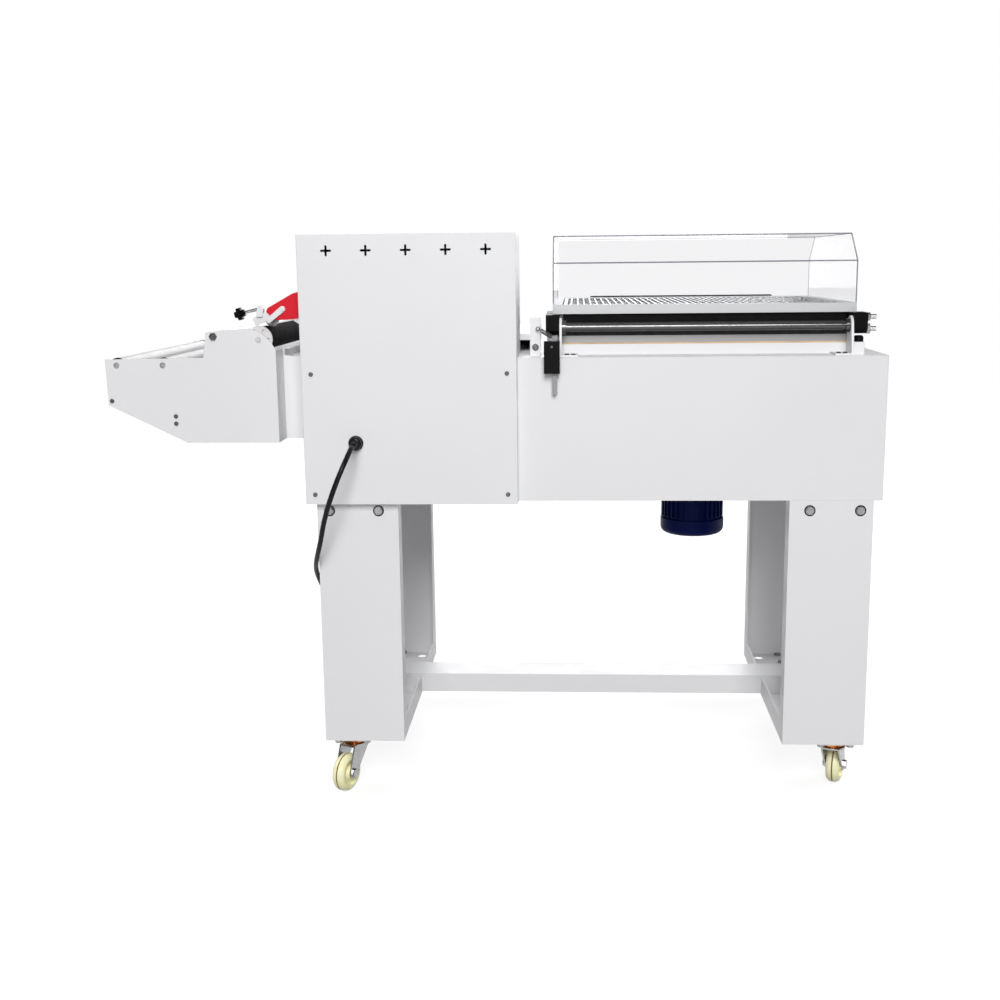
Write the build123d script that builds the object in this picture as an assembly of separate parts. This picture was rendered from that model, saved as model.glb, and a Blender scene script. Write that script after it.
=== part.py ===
from build123d import *
import math
import os

# L-bar sealer with a clear hood, a shrink chamber under it and a film rack on its right.
# X runs to the operator's right, Y to the rear and Z up, in millimetres. The model is built
# from the left end of the cabinet (x = 0), its rear wall (y = 0) and the floor (z = 0).
# centred() then moves it, so that the origin is the middle of the whole machine's base.

# Cabinet
cabinet_length = 1083.0
cabinet_depth = 574.0
cabinet_bottom = 587.0
cabinet_top = 857.0
cabinet_sheet = 1.5
floor_sheet = 2.0
corner_radius = 3.0

# Leg frames, each one channel bent into a U
leg_width = 156.0
leg_inset = 16.5
leg_lip = 40.0
leg_sheet = 2.5
leg_bottom = 105.0
leg_bolt_offsets = (24.0, 118.0)
leg_bolt_drop = 19.0
leg_angle_sheet = 3.0
leg_angle_drop = 40.0
leg_angle_reach = 32.0
anchor_hole_radius = 11.0
anchor_hole_inset = 30.0
brace_rear = 290.0
brace_depth = 80.0
brace_height = 40.5
brace_clearance = 1.0
bolt_radius = 4.0
bolt_head_radius = 7.5
bolt_head_height = 5.0
washer_radius = 10.0
washer_height = 1.6

# Swivel casters
caster_inset = 51.0
caster_setback = 40.0
caster_plate = 72.0
caster_plate_sheet = 3.0
caster_bolt_pitch = 56.0
race_top_radius = 27.0
race_bottom_radius = 22.0
fork_gap = 0.3
fork_sheet = 3.0
fork_plate_radius = 25.0
fork_top = 90.0
fork_boss_radius = 12.0
fork_crown_length = 54.0
fork_crown_shift = 3.0
fork_reach = 200.0
kingpin_radius = 6.0
kingpin_head_radius = 10.0
kingpin_head_height = 4.0
running_clearance = 0.05
caster_trail = 37.0
wheel_radius = 37.5
wheel_width = 26.0
wheel_hub_width = 29.0
wheel_side_gap = 0.3
wheel_hub_radius = 13.0
wheel_seam_depth = 1.2
axle_radius = 6.0
axle_nut_radius = 9.0
axle_nut_height = 5.0
caster_yaws = {"rear_right": 68.0, "rear_left": 249.0, "front_right": 25.0, "front_left": 205.0}

# Rim of the shrink chamber and the seal on it
rim_x0 = 58.0
rim_x1 = cabinet_length - 475.0
rim_rear = 66.0
rim_front = cabinet_depth - 22.0
rim_width = 10.0
tub_gap = 0.5
tub_sheet = 1.5
tub_floor = 640.0
riser_height = 20.0
strip_height = 3.0
rim_height = 13.0
seal_height = 25.0
seal_gap = 0.3
jaw_height = 19.0

# Hood and its frame
frame_x0 = 50.0
frame_x1 = rim_x1 + 8.0
frame_rear = 58.0
frame_front = rim_front + 8.0
frame_bar = 18.0
frame_bottom = 934.0
frame_height = 17.0
frame_wall = 2.0
hood_wall = 4.0
hood_shoulder = 1029.0
hood_top = 1080.0
hood_chamfer_run = 62.0
jaw_blade = 1.5
jaw_body_height = 9.0
hood_opening_angle = 55.0

# Hinge across the rear of the hood
shaft_radius = 8.0
shaft_y = 40.0
shaft_z = 910.0
shaft_x0 = 38.0
shaft_x1 = frame_x1 + 10.0
bracket_sheet = 4.5
bracket_x0 = 61.5
bracket_x1 = rim_x1 - 5.0
bracket_rear = 14.0
bracket_front = 64.0
bracket_foot = 34.0
bracket_foot_sheet = 3.0
bracket_crown_radius = 18.0
collar_radius = 13.0
collar_width = 8.0
block_width = 25.0
block_gap = 0.3
block_radius = 15.0
block_rear = 22.0
block_front = 72.0
block_arm_height = 15.0
clamp_bolt_radius = 4.5
clamp_bolt_length = 17.0
clamp_nut_height = 6.0
clamp_nut_sizes = (7.5, 9.5)
clamp_bolt_drops = (8.0, 30.0)
clamp_bolt_inset = 12.0
stop_block_width = 19.0
stop_block_height = 23.0
stop_block_depth = 20.0
stop_dome_radius = 9.0
stop_gap = 3.2

# Spring post, limit switch and its hanging lever
post_x0 = frame_x1 + 22.0
post_width = 20.0
post_height = 72.0
post_sheet = 4.0
post_y = 30.0
post_foot = 24.0
post_pin_radius = 2.0
post_pin_inset = 5.0
post_pin_length = 10.0
post_pin_z = 909.0
switch_x0 = bracket_x1 - 1.0
switch_width = 29.0
switch_depth = 25.0
switch_bottom = 829.0
switch_top = 888.0
switch_foot = 26.0
switch_foot_height = 10.0
lever_pivot_z = 871.0
lever_width = 9.0
lever_sheet = 4.0
lever_bottom = 789.0
lever_top = 897.0
lever_slot_gap = 0.5
lever_swing = 7.0
lever_pivot_radius = 2.5
lever_pin_length = 4.0
spring_coil_radius = 3.2
spring_coil_share = 0.6
spring_hook_gap = 0.3
spring_wire_radius = 0.9
spring_turns = 7

# Closing magnets at the front corners of the hood
magnet_radius = 10.0
magnet_y = rim_front - 52.0
magnet_offset = 11.0
armature_height = 6.0
armature_gap = 0.4
lug_width = 20.0
lug_sheet = 3.0

# Handle at the front of the hood
handle_radius = 11.0
handle_reach = 44.0
handle_inset = 100.0
handle_bracket_width = 18.0
handle_overhang = 24.0

# Product grid and the rods that carry it
grid_gap = 3.0
grid_y0 = 86.0
grid_depth = rim_front - 152.0
grid_top = 951.0
grid_pitch = 12.4
grid_wire = 2.6
grid_border = 6.0
grid_rod_radius = 5.0
grid_rod_inset_x = 40.0
grid_rod_inset_y = 40.0
grid_rod_length = 190.0
grid_guide_radius = 9.0
grid_guide_height = 60.0
grid_travel = 80.0

# Heaters, fan and motor
motor_offset_x = -7.0
motor_radius = 61.0
motor_fin_radius = 65.0
motor_fin_count = 32
motor_fin_sheet = 2.2
cowl_radius = 66.5
cowl_top = 496.0
cowl_bottom = 463.0
cowl_wall = 2.0
cowl_round = 14.0
cowl_lap = 12.0
motor_flange_radius = 84.0
motor_flange_height = 6.0
motor_shaft_radius = 7.0
fan_radius = 88.0
fan_hub_radius = 18.0
fan_eye_radius = 50.0
fan_blade_height = 44.0
fan_blade_sheet = 1.5
fan_blade_count = 14
fan_bottom = 656.0
guard_z = 742.0
guard_sheet = 1.5
guard_margin = 12.0
guard_rod_gap = 2.0
guard_eye_radius = 92.0
guard_slot_pitch = 22.0
heater_radius = 4.25
heater_z = 684.0
heater_pitch = 44.0
heater_offset = 10.0
heater_step = 56.0
heater_reach = rim_front - 152.0
tub_post_radius = 10.0

# Control box at the rear right corner
box_length = 402.0
box_depth = 130.0
box_height = 227.0
cover_depth = 20.0
cover_bottom = 584.0
cover_sheet = 1.5
vent_count = 5
vent_pitch = 73.1
vent_drop = 29.0
vent_size = 20.0
vent_slot = 4.0
cover_screw_inset = 18.5
cover_screw_z = (603.0, 830.0)
screw_radius = 2.5
screw_head_radius = 4.2
screw_head_height = 2.4
panel_sheet = 3.0
panel_margin = 18.0
panel_rise = 25.0
panel_drop = 22.0
controller_size = 52.0
controller_depth = 60.0
controller_bezel = 8.0
button_radius = 20.0
button_stem_radius = 11.0
button_stem_length = 18.0
button_head_height = 14.0
button_travel = 5.0
switch_knob_radius = 16.0
switch_knob_height = 16.0
electric_plate_sheet = 2.0
electric_plate_height = 170.0
tab_reach = 29.0
tab_z = 917.0
tab_height = 12.0

# Cable gland and mains lead
gland_x = cabinet_length - 99.0
gland_z = 701.0
gland_radius = 12.5
gland_flange_height = 4.0
gland_length = 16.0
cord_radius = 4.75
coil_mean_radius = 53.0
coil_turn_rows = 2
coil_turn_layers = 2
plug_length = 42.0
plug_width = 30.0
plug_height = 18.0
plug_pin_pitch = 19.0
plug_pin_length = 19.0
plug_pin_radius = 2.4

# Film rack on the right
rack_tip = cabinet_length + 384.0
rack_sheet = 2.0
rack_rear = 20.0
rack_front = cabinet_depth + 18.0
rack_tray_top = 857.0
rack_tip_bottom = 770.0
rack_bottom = 697.0
rack_slope_end = cabinet_length + 233.0
rack_inner = cabinet_length + 55.0
rack_flange = 64.0
rack_bump_x0 = cabinet_length + 194.0
rack_bump_top = 913.0
rack_corner_z = 873.0
film_roller_radius = 13.0
film_roller_z = 846.0
film_roller_x = (rack_tip - 22.0, rack_tip - 111.0)
roller_pin_radius = 5.0
roller_pin_reach = 12.0
roller_end_gap = 1.0
cap_length = 9.0
feed_roller_x = rack_inner + 32.0
feed_roller_z = 893.0
feed_roller_radius = 22.0
feed_disc_radius = 25.0
feed_disc_width = 7.0
feed_disc_holes = 6
feed_hole_radius = 2.6
feed_hole_ring = 18.0
feed_recess_radius = 12.0
feed_recess_depth = 4.0
tie_tip_x = rack_tip - 9.0
tie_tip_z = 778.0
tie_tip_size = 20.0
tie_low_x = rack_tip - 131.0
tie_low_z = 741.0
tie_low_height = 32.0
tie_low_width = 12.0
tie_rod_x = rack_inner + 118.0
tie_rod_z = 899.0
tie_rod_radius = 8.0
rail_z = 864.5
rail_height = 17.0
rail_width = 12.0
stay_x = cabinet_length + 27.0
stay_z = 822.0
stay_radius = 5.0

# Perforator over the feed roller
guard_plate_y = 62.0
guard_plate_sheet = 3.0
guard_plate_space = 50.0
guard_bottom = 930.0
guard_top = 981.0
perf_pivot_x = cabinet_length + 48.0
perf_pivot_z = 948.0
perf_pivot_radius = 4.0
pin_wheel_radius = 11.5
pin_wheel_x = feed_roller_x - 12.0
pin_wheel_gap = 1.2
pin_wheel_width = 14.0
pin_count = 18
pin_length = 0.9
arm_sheet = 3.0
arm_tilt = 25.8
arm_corner_x = cabinet_length + 108.0
arm_corner_z = 930.0
arm_length = 72.0
arm_height = 16.0
knob_tilt = 14.0
knob_radius = 12.0
knob_length = 14.0
knob_lobes = 6
knob_stud_radius = 3.0
knob_stud_length = 44.0
knob_lug_radius = 6.0
knob_x = arm_corner_x + 20.0
knob_z = 940.0
perf_lift = 26.0

# Loading tray and the film inverting head on it
tray_x0 = cabinet_length - 431.0
tray_rear = 176.0
tray_top = 891.0
tray_lip = 12.0
head_rail_x = cabinet_length - 25.0
head_rail_width = 20.0
head_rail_height = 8.0
head_rail_end = 20.0
head_rod_radius = 5.0
head_lower_z = 910.0
head_upper_z = 946.0
head_reach = cabinet_depth - 284.0
head_rear = 226.0
head_corner_radius = 16.0
head_shoe_length = 60.0
head_travel = 40.0

chamber_x = (rim_x0 + rim_x1) / 2
chamber_y = -(rim_rear + rim_front) / 2
motor_x = chamber_x + motor_offset_x
motor_y = chamber_y
riser_top = cabinet_top + riser_height
rim_bottom = riser_top + strip_height
rim_top = rim_bottom + rim_height
seal_top = rim_top + seal_height
frame_top = frame_bottom + frame_height
box_x0 = cabinet_length - box_length
box_top = cabinet_top + box_height
vent_z = box_top - vent_drop
panel_bottom = cabinet_top + panel_rise
panel_top = box_top - panel_drop
axle_z = wheel_radius
race_bottom = fork_top + fork_gap


def box(x0, x1, y0, y1, z0, z1):
    """A block between two opposite corners."""
    centre = Pos((x0 + x1) / 2, (y0 + y1) / 2, (z0 + z1) / 2)
    return centre * Box(x1 - x0, y1 - y0, z1 - z0)


def rod_x(y, z, x0, x1, radius):
    return Pos((x0 + x1) / 2, y, z) * Rot(0, 90, 0) * Cylinder(radius, x1 - x0)


def rod_y(x, z, y0, y1, radius):
    return Pos(x, (y0 + y1) / 2, z) * Rot(90, 0, 0) * Cylinder(radius, y1 - y0)


def rod_z(x, y, z0, z1, radius):
    return Pos(x, y, (z0 + z1) / 2) * Cylinder(radius, z1 - z0)


def prism_x(outline, x0, x1):
    """An outline of (y, z) points, drawn out along X."""
    return extrude(Plane.YZ.offset(x0) * Polygon(*outline, align=None), x1 - x0, dir=(1, 0, 0))


def prism_y(outline, y0, y1):
    """An outline of (x, z) points, drawn out along Y."""
    return extrude(Plane.XZ.offset(-y0) * Polygon(*outline, align=None), y1 - y0, dir=(0, 1, 0))


def prism_z(outline, z0, z1):
    """An outline of (x, y) points, drawn out along Z."""
    return extrude(Plane.XY.offset(z0) * Polygon(*outline, align=None), z1 - z0, dir=(0, 0, 1))


def hexagon_y(x, z, y0, y1, radius):
    face = Pos(x, y1, z) * Rot(90, 0, 0) * RegularPolygon(radius, 6)
    return extrude(face, y1 - y0)


def hexagon_z(x, y, z0, z1, radius):
    return extrude(Pos(x, y, z0) * RegularPolygon(radius, 6), z1 - z0)


def hexagon_x(y, z, x0, x1, radius):
    return extrude(Pos(x0, y, z) * Rot(0, 90, 0) * RegularPolygon(radius, 6), x1 - x0)


def ring(x0, x1, y0, y1, width, z0, z1):
    """A rectangular ring of even width; y0 and y1 are distances in front of the rear wall."""
    outer = box(x0, x1, -y1, -y0, z0, z1)
    inner = box(x0 + width, x1 - width, -y1 + width, -y0 - width, z0 - 1, z1 + 1)
    return outer - inner


# Frame, legs and casters

def leg_starts():
    return (leg_inset, cabinet_length - leg_inset - leg_width)


def leg_frame(x0, outer_side):
    """One leg frame; outer_side is 1 where the outer edge faces +X and -1 where it faces -X."""
    x1 = x0 + leg_width
    front = -cabinet_depth
    lip_top = leg_bottom + leg_lip
    outline = [(0, leg_bottom), (front, leg_bottom), (front, cabinet_bottom),
               (front + leg_lip, cabinet_bottom), (front + leg_lip, lip_top),
               (-leg_lip, lip_top), (-leg_lip, cabinet_bottom), (0, cabinet_bottom)]
    low = leg_bottom + leg_sheet
    past = 1.0
    hollow = [(-leg_sheet, low), (front + leg_sheet, low), (front + leg_sheet, cabinet_bottom + past),
              (front + leg_lip + past, cabinet_bottom + past), (front + leg_lip + past, lip_top + past),
              (-leg_lip - past, lip_top + past), (-leg_lip - past, cabinet_bottom + past),
              (-leg_sheet, cabinet_bottom + past)]
    frame = prism_x(outline, x0, x1) - prism_x(hollow, x0 + leg_sheet, x1 - leg_sheet)
    inner_lip = x0 if outer_side > 0 else x1 - leg_sheet
    notch_rear = -brace_rear + brace_clearance
    notch_front = -brace_rear - brace_depth - brace_clearance
    frame -= box(inner_lip - past, inner_lip + leg_sheet + past, notch_front, notch_rear,
                 low, lip_top + past)
    outer_edge = x1 if outer_side > 0 else x0
    anchor_x = (x0 + anchor_hole_inset) if outer_side > 0 else (x1 - anchor_hole_inset)
    for y in (-anchor_hole_inset, front + anchor_hole_inset):
        frame -= rod_z(anchor_x, y, leg_bottom - past, low + past, anchor_hole_radius)
    for caster_y in caster_rows():
        centre_x = outer_edge - outer_side * caster_inset
        for x, y in caster_bolt_places(centre_x, caster_y):
            frame -= rod_z(x, y, leg_bottom - past, low + past, bolt_radius)
    for offset in leg_bolt_offsets:
        x = outer_edge - outer_side * offset
        z = cabinet_bottom - leg_bolt_drop
        frame -= rod_y(x, z, -leg_sheet - past, past, bolt_radius)
        frame -= rod_y(x, z, front - past, front + leg_sheet + past, bolt_radius)
    for x, y in brace_bolt_places(x0):
        frame -= rod_z(x, y, leg_bottom - past, low + past, bolt_radius)
    return frame


def caster_rows():
    return (-caster_setback, -cabinet_depth + caster_setback)


def caster_columns():
    return (leg_inset + caster_inset, cabinet_length - leg_inset - caster_inset)


def caster_bolt_places(x, y):
    half = caster_bolt_pitch / 2
    return [(x + a * half, y + b * half) for a in (-1, 1) for b in (-1, 1)]


def brace_bolt_places(x0):
    return [(x0 + leg_width * share, -brace_rear - brace_depth / 2) for share in (0.3, 0.7)]


def cross_brace():
    x0 = leg_inset + leg_sheet
    x1 = cabinet_length - x0
    z0 = leg_bottom + leg_sheet
    z1 = z0 + brace_height
    y0 = -brace_rear - brace_depth
    bar = box(x0, x1, y0, -brace_rear, z0, z1)
    bar -= box(x0 - 1, x1 + 1, y0 + leg_sheet, -brace_rear - leg_sheet, z0 + leg_sheet, z1 - leg_sheet)
    gap_x0 = leg_inset + leg_width + brace_clearance
    bar -= box(gap_x0, cabinet_length - gap_x0, y0 + leg_sheet, -brace_rear - leg_sheet,
               z0 - 1, z0 + leg_sheet + 1)
    for start in leg_starts():
        for x, y in brace_bolt_places(start):
            bar -= rod_z(x, y, z0 - 1, z0 + leg_sheet + 1, bolt_radius)
    return bar


def bolt_y(x, z, seat, direction, grip):
    """A hexagon bolt with washer and nut; direction is the way its head faces along Y."""
    def span(a, b):
        return sorted((seat + direction * a, seat + direction * b))
    washer = rod_y(x, z, *span(0, washer_height), washer_radius)
    head = hexagon_y(x, z, *span(washer_height, washer_height + bolt_head_height), bolt_head_radius)
    shank = rod_y(x, z, *span(-grip - bolt_head_height, washer_height), bolt_radius)
    nut = hexagon_y(x, z, *span(-grip - bolt_head_height, -grip), bolt_head_radius)
    return washer + head + shank + nut


def bolt_z(x, y, top, bottom):
    """A hexagon bolt from above: its head sits on top, its nut under bottom."""
    head = hexagon_z(x, y, top, top + bolt_head_height, bolt_head_radius)
    shank = rod_z(x, y, bottom - bolt_head_height, top, bolt_radius)
    nut = hexagon_z(x, y, bottom - bolt_head_height, bottom, bolt_head_radius)
    return head + shank + nut


def frame_bolts():
    bolts = []
    z = cabinet_bottom - leg_bolt_drop
    grip = leg_sheet + leg_angle_sheet
    for outer_edge, side in ((leg_inset, 1), (cabinet_length - leg_inset, -1)):
        for offset in leg_bolt_offsets:
            x = outer_edge + side * offset
            bolts.append(bolt_y(x, z, 0, 1, grip))
            bolts.append(bolt_y(x, z, -cabinet_depth, -1, grip))
    web_top = leg_bottom + leg_sheet
    for x in caster_columns():
        for y in caster_rows():
            for bolt_x, bolt_yy in caster_bolt_places(x, y):
                bolts.append(bolt_z(bolt_x, bolt_yy, web_top, leg_bottom - caster_plate_sheet))
    for start in leg_starts():
        for x, y in brace_bolt_places(start):
            bolts.append(bolt_z(x, y, web_top + leg_sheet, leg_bottom))
    return Compound(children=bolts)


def caster_top_plate(x, y):
    """Mounting plate, bearing race and kingpin of one swivel caster."""
    bottom = leg_bottom - caster_plate_sheet
    outline = RectangleRounded(caster_plate, caster_plate, 8)
    plate = extrude(Pos(x, y, bottom) * outline, caster_plate_sheet)
    for bolt_x, bolt_yy in caster_bolt_places(x, y):
        plate -= rod_z(bolt_x, bolt_yy, bottom - 1, leg_bottom + 1, bolt_radius)
    mid = (race_bottom + bottom) / 2
    pin_bottom = fork_top - fork_sheet - fork_gap
    head_bottom = pin_bottom - kingpin_head_height
    profile = make_face(Polyline(
        (0, bottom), (race_top_radius - 2, bottom), (race_top_radius, mid + 2), (race_bottom_radius, race_bottom),
        (kingpin_radius, race_bottom), (kingpin_radius, pin_bottom), (kingpin_head_radius, pin_bottom),
        (kingpin_head_radius, head_bottom), (0, head_bottom), close=True))
    race = revolve(Plane.XZ * profile, Axis.Z)
    return plate + Pos(x, y, 0) * race


def caster_fork(x, y, yaw):
    """Bent fork with its axle bolt, trailing along yaw degrees from +X."""
    inner = wheel_hub_width / 2 + wheel_side_gap
    outer = inner + fork_sheet
    foot = Pos(caster_trail, axle_z) * Circle(fork_boss_radius)
    crown = Pos(fork_crown_shift, fork_top - fork_sheet) * Rectangle(fork_crown_length, 2 * fork_sheet)
    side = Plane.XZ * make_hull(foot.edges() + crown.edges())
    fork = extrude(side, outer, both=True)
    fork -= box(-fork_reach, fork_reach, -inner, inner, 0, fork_top - fork_sheet)
    fork += rod_z(0, 0, fork_top - fork_sheet, fork_top, fork_plate_radius)
    fork -= rod_z(0, 0, 0, fork_top + 1, kingpin_radius + running_clearance)
    fork -= rod_y(caster_trail, axle_z, -outer - 1, outer + 1, axle_radius)
    nut_end = outer + axle_nut_height
    axle = rod_y(caster_trail, axle_z, -nut_end, nut_end, axle_radius)
    axle += hexagon_y(caster_trail, axle_z, outer, nut_end, axle_nut_radius)
    axle += hexagon_y(caster_trail, axle_z, -nut_end, -outer, axle_nut_radius)
    place = Pos(x, y, 0) * Rot(0, 0, yaw)
    return Compound(children=[place * fork, place * axle])


def caster_wheel(x, y, yaw):
    """Wheel with a rounded tread and a seam round its middle."""
    bore = axle_radius + running_clearance
    half = wheel_width / 2
    shoulder = wheel_radius - 7.0
    web = half - 5.0
    outline = Polyline((bore, -wheel_hub_width / 2), (wheel_hub_radius, -wheel_hub_width / 2),
                       (wheel_hub_radius + 2, -web), (shoulder - 7, -web), (shoulder - 4, -half),
                       (shoulder, -half))
    low_arc = ThreePointArc((shoulder, -half), (wheel_radius - 1.6, -half + 5.0), (wheel_radius, -1.5))
    groove = Polyline((wheel_radius, -1.5), (wheel_radius - wheel_seam_depth, -0.8),
                      (wheel_radius - wheel_seam_depth, 0.8), (wheel_radius, 1.5))
    high_arc = ThreePointArc((wheel_radius, 1.5), (wheel_radius - 1.6, half - 5.0), (shoulder, half))
    back = Polyline((shoulder, half), (shoulder - 4, half), (shoulder - 7, web),
                    (wheel_hub_radius + 2, web), (wheel_hub_radius, wheel_hub_width / 2),
                    (bore, wheel_hub_width / 2), (bore, -wheel_hub_width / 2))
    face = make_face(outline.edges() + low_arc.edges() + groove.edges() + high_arc.edges() + back.edges())
    wheel = Rot(90, 0, 0) * revolve(Plane.XZ * face, Axis.Z)
    return Pos(x, y, 0) * Rot(0, 0, yaw) * Pos(caster_trail, 0, axle_z) * wheel


def caster_places():
    left, right = caster_columns()
    rear, front = caster_rows()
    return {"rear_right": (right, rear), "rear_left": (left, rear),
            "front_right": (right, front), "front_left": (left, front)}


# Cabinet

def shell_inside():
    return RectangleRounded(cabinet_length - 2 * cabinet_sheet, cabinet_depth - 2 * cabinet_sheet,
                            corner_radius - cabinet_sheet)


def cabinet_shell():
    top = cabinet_top - cabinet_sheet
    centre = Pos(cabinet_length / 2, -cabinet_depth / 2, cabinet_bottom)
    outer = RectangleRounded(cabinet_length, cabinet_depth, corner_radius)
    walls = extrude(centre * (outer - shell_inside()), top - cabinet_bottom)
    window_x0 = box_x0 + 60
    window_x1 = cabinet_length - 60
    return walls - box(window_x0, window_x1, -5, 5, cabinet_bottom + 40, top - 40)


def cabinet_floor():
    """Floor pan with the angles under it that the legs are bolted to."""
    centre = Pos(cabinet_length / 2, -cabinet_depth / 2, cabinet_bottom)
    floor = extrude(centre * shell_inside(), floor_sheet)
    floor -= rod_z(motor_x, motor_y, cabinet_bottom - 1, cabinet_bottom + 9, fan_hub_radius)
    side_gap = leg_sheet + 1.0
    for x0 in leg_starts():
        for wall, inward in ((-leg_sheet, -1), (-cabinet_depth + leg_sheet, 1)):
            y0, y1 = sorted((wall, wall + inward * leg_angle_sheet))
            floor += box(x0 + side_gap, x0 + leg_width - side_gap, y0, y1,
                         cabinet_bottom - leg_angle_drop, cabinet_bottom)
            y0, y1 = sorted((wall, wall + inward * leg_angle_reach))
            floor += box(x0 + side_gap, x0 + leg_width - side_gap, y0, y1,
                         cabinet_bottom - leg_angle_sheet, cabinet_bottom)
    z = cabinet_bottom - leg_bolt_drop
    for outer_edge, side in ((leg_inset, 1), (cabinet_length - leg_inset, -1)):
        for offset in leg_bolt_offsets:
            x = outer_edge + side * offset
            floor -= rod_y(x, z, -leg_sheet - leg_angle_sheet - 1, 0, bolt_radius)
            floor -= rod_y(x, z, -cabinet_depth, -cabinet_depth + leg_sheet + leg_angle_sheet + 1, bolt_radius)
    return floor


def riser_width():
    return rim_width - tub_sheet - tub_gap


def deck_plate():
    """Top sheet with the upstand round the chamber."""
    deck = box(0, cabinet_length, -cabinet_depth, 0, cabinet_top - cabinet_sheet, cabinet_top)
    deck = fillet(deck.edges().filter_by(Axis.Z), corner_radius)
    deck += ring(rim_x0, rim_x1, rim_rear, rim_front, riser_width(), cabinet_top, riser_top)
    w = riser_width()
    deck -= box(rim_x0 + w, rim_x1 - w, -rim_front + w, -rim_rear - w, cabinet_top - 9, riser_top + 1)
    return deck - box(box_x0 + 40, cabinet_length - 40, -box_depth + 20, -20, cabinet_top - 9, cabinet_top + 1)


def insulating_strips():
    """Heat-proof strip under the chamber rim, and the tape-covered pads on the two lower jaws."""
    base = ring(rim_x0, rim_x1, rim_rear, rim_front, riser_width(), riser_top, rim_bottom)
    front_pad = box(rim_x0 + rim_width, rim_x1, -rim_front, -rim_front + rim_width,
                    rim_top + jaw_height, seal_top)
    side_pad = box(rim_x1 - rim_width, rim_x1, -rim_front + rim_width, -rim_rear - rim_width,
                   rim_top + jaw_height, seal_top)
    return Compound(children=[base, front_pad + side_pad])


# Shrink chamber

def shrink_chamber():
    """Steel tub with its rim, guide tubes for the grid and four feet."""
    x0 = rim_x0 + rim_width
    x1 = rim_x1 - rim_width
    y0 = -rim_front + rim_width
    y1 = -rim_rear - rim_width
    wall = tub_sheet
    tub = box(x0 - wall, x1 + wall, y0 - wall, y1 + wall, tub_floor - wall, rim_bottom + 1)
    tub -= box(x0, x1, y0, y1, tub_floor, rim_top)
    tub += ring(rim_x0, rim_x1, rim_rear, rim_front, rim_width, rim_bottom, rim_top)
    tub -= rod_z(motor_x, motor_y, tub_floor - 9, tub_floor + 1, motor_shaft_radius + 3)
    for x in (x0 + tub_post_radius * 3, x1 - tub_post_radius * 3):
        for y in (y0 + tub_post_radius * 3, y1 - tub_post_radius * 3):
            tub += rod_z(x, y, cabinet_bottom + floor_sheet, tub_floor - wall, tub_post_radius)
    for x, y in grid_rod_places():
        tub += rod_z(x, y, tub_floor, grid_guide_top(), grid_guide_radius)
        tub -= rod_z(x, y, tub_floor, grid_guide_top() + 1, grid_rod_radius + running_clearance)
    for x, reach in heater_places():
        for leg_x in (x, x + heater_pitch):
            tub -= rod_y(leg_x, heater_z, y1 - 5, y1 + 5, heater_radius)
    return tub


def grid_guide_top():
    return grid_top - 2 * grid_wire - grid_travel - 4.0


def grid_x0():
    return rim_x0 + rim_width + grid_gap


def grid_x1():
    return rim_x1 - rim_width - grid_gap


def grid_rod_places():
    rear = -grid_y0 - grid_rod_inset_y
    front = -grid_y0 - grid_depth + grid_rod_inset_y
    return [(x, y) for x in (grid_x0() + grid_rod_inset_x, grid_x1() - grid_rod_inset_x)
            for y in (rear, front)]


def product_grid():
    """Bar grating on a border, with the four rods that slide in the chamber's guide tubes."""
    x0, x1 = grid_x0(), grid_x1()
    rear = -grid_y0
    front = rear - grid_depth
    low = grid_top - 2 * grid_wire
    grid = box(x0, x1, front, rear, low, grid_top)
    grid -= box(x0 + grid_border, x1 - grid_border, front + grid_border, rear - grid_border, low - 1, grid_top + 1)
    count = int((x1 - x0 - 2 * grid_border) / grid_pitch)
    start = (x0 + x1) / 2 - (count - 1) * grid_pitch / 2
    bars = [box(start + i * grid_pitch - grid_wire / 2, start + i * grid_pitch + grid_wire / 2,
                front + grid_border / 2, rear - grid_border / 2, grid_top - grid_wire, grid_top)
            for i in range(count)]
    cross = [box(x0 + grid_border / 2, x1 - grid_border / 2, y - grid_border / 2, y + grid_border / 2,
                 low, grid_top - grid_wire) for y in grid_cross_rows()]
    rods = [rod_z(x, y, low - grid_rod_length, low + grid_wire / 2, grid_rod_radius)
            for x, y in grid_rod_places()]
    return grid.fuse(*bars, *cross, *rods)


def grid_cross_rows():
    rear = -grid_y0 - grid_rod_inset_y
    front = -grid_y0 - grid_depth + grid_rod_inset_y
    return [rear + (front - rear) * i / 3 for i in range(4)]


def chamber_seal():
    """Black sponge seal on the rear and left sides of the chamber rim."""
    rear = box(rim_x0, rim_x1, -rim_rear - rim_width, -rim_rear, rim_top, seal_top)
    left = box(rim_x0, rim_x0 + rim_width, -rim_front, -rim_rear - rim_width, rim_top, seal_top)
    return rear + left


def lower_jaw_bars():
    """The two fixed jaws of the L, and the two magnets that hold the hood shut."""
    top = rim_top + jaw_height
    front = box(rim_x0 + rim_width, rim_x1, -rim_front, -rim_front + rim_width, rim_top, top)
    side = box(rim_x1 - rim_width, rim_x1, -rim_front + rim_width, -rim_rear - rim_width, rim_top, top)
    magnets = [rod_z(x, -magnet_y, cabinet_top, magnet_top(), magnet_radius) for x in magnet_columns()]
    return Compound(children=[front + side] + magnets)


def magnet_columns():
    return (frame_x0 - magnet_offset, frame_x1 + magnet_offset)


def magnet_top():
    return seal_top - armature_gap


def heater_places():
    left = motor_x - fan_radius - heater_offset - heater_pitch
    right = motor_x + fan_radius + heater_offset
    return [(x, heater_reach) for x in (left - heater_step, left, right, right + heater_step)]


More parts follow.
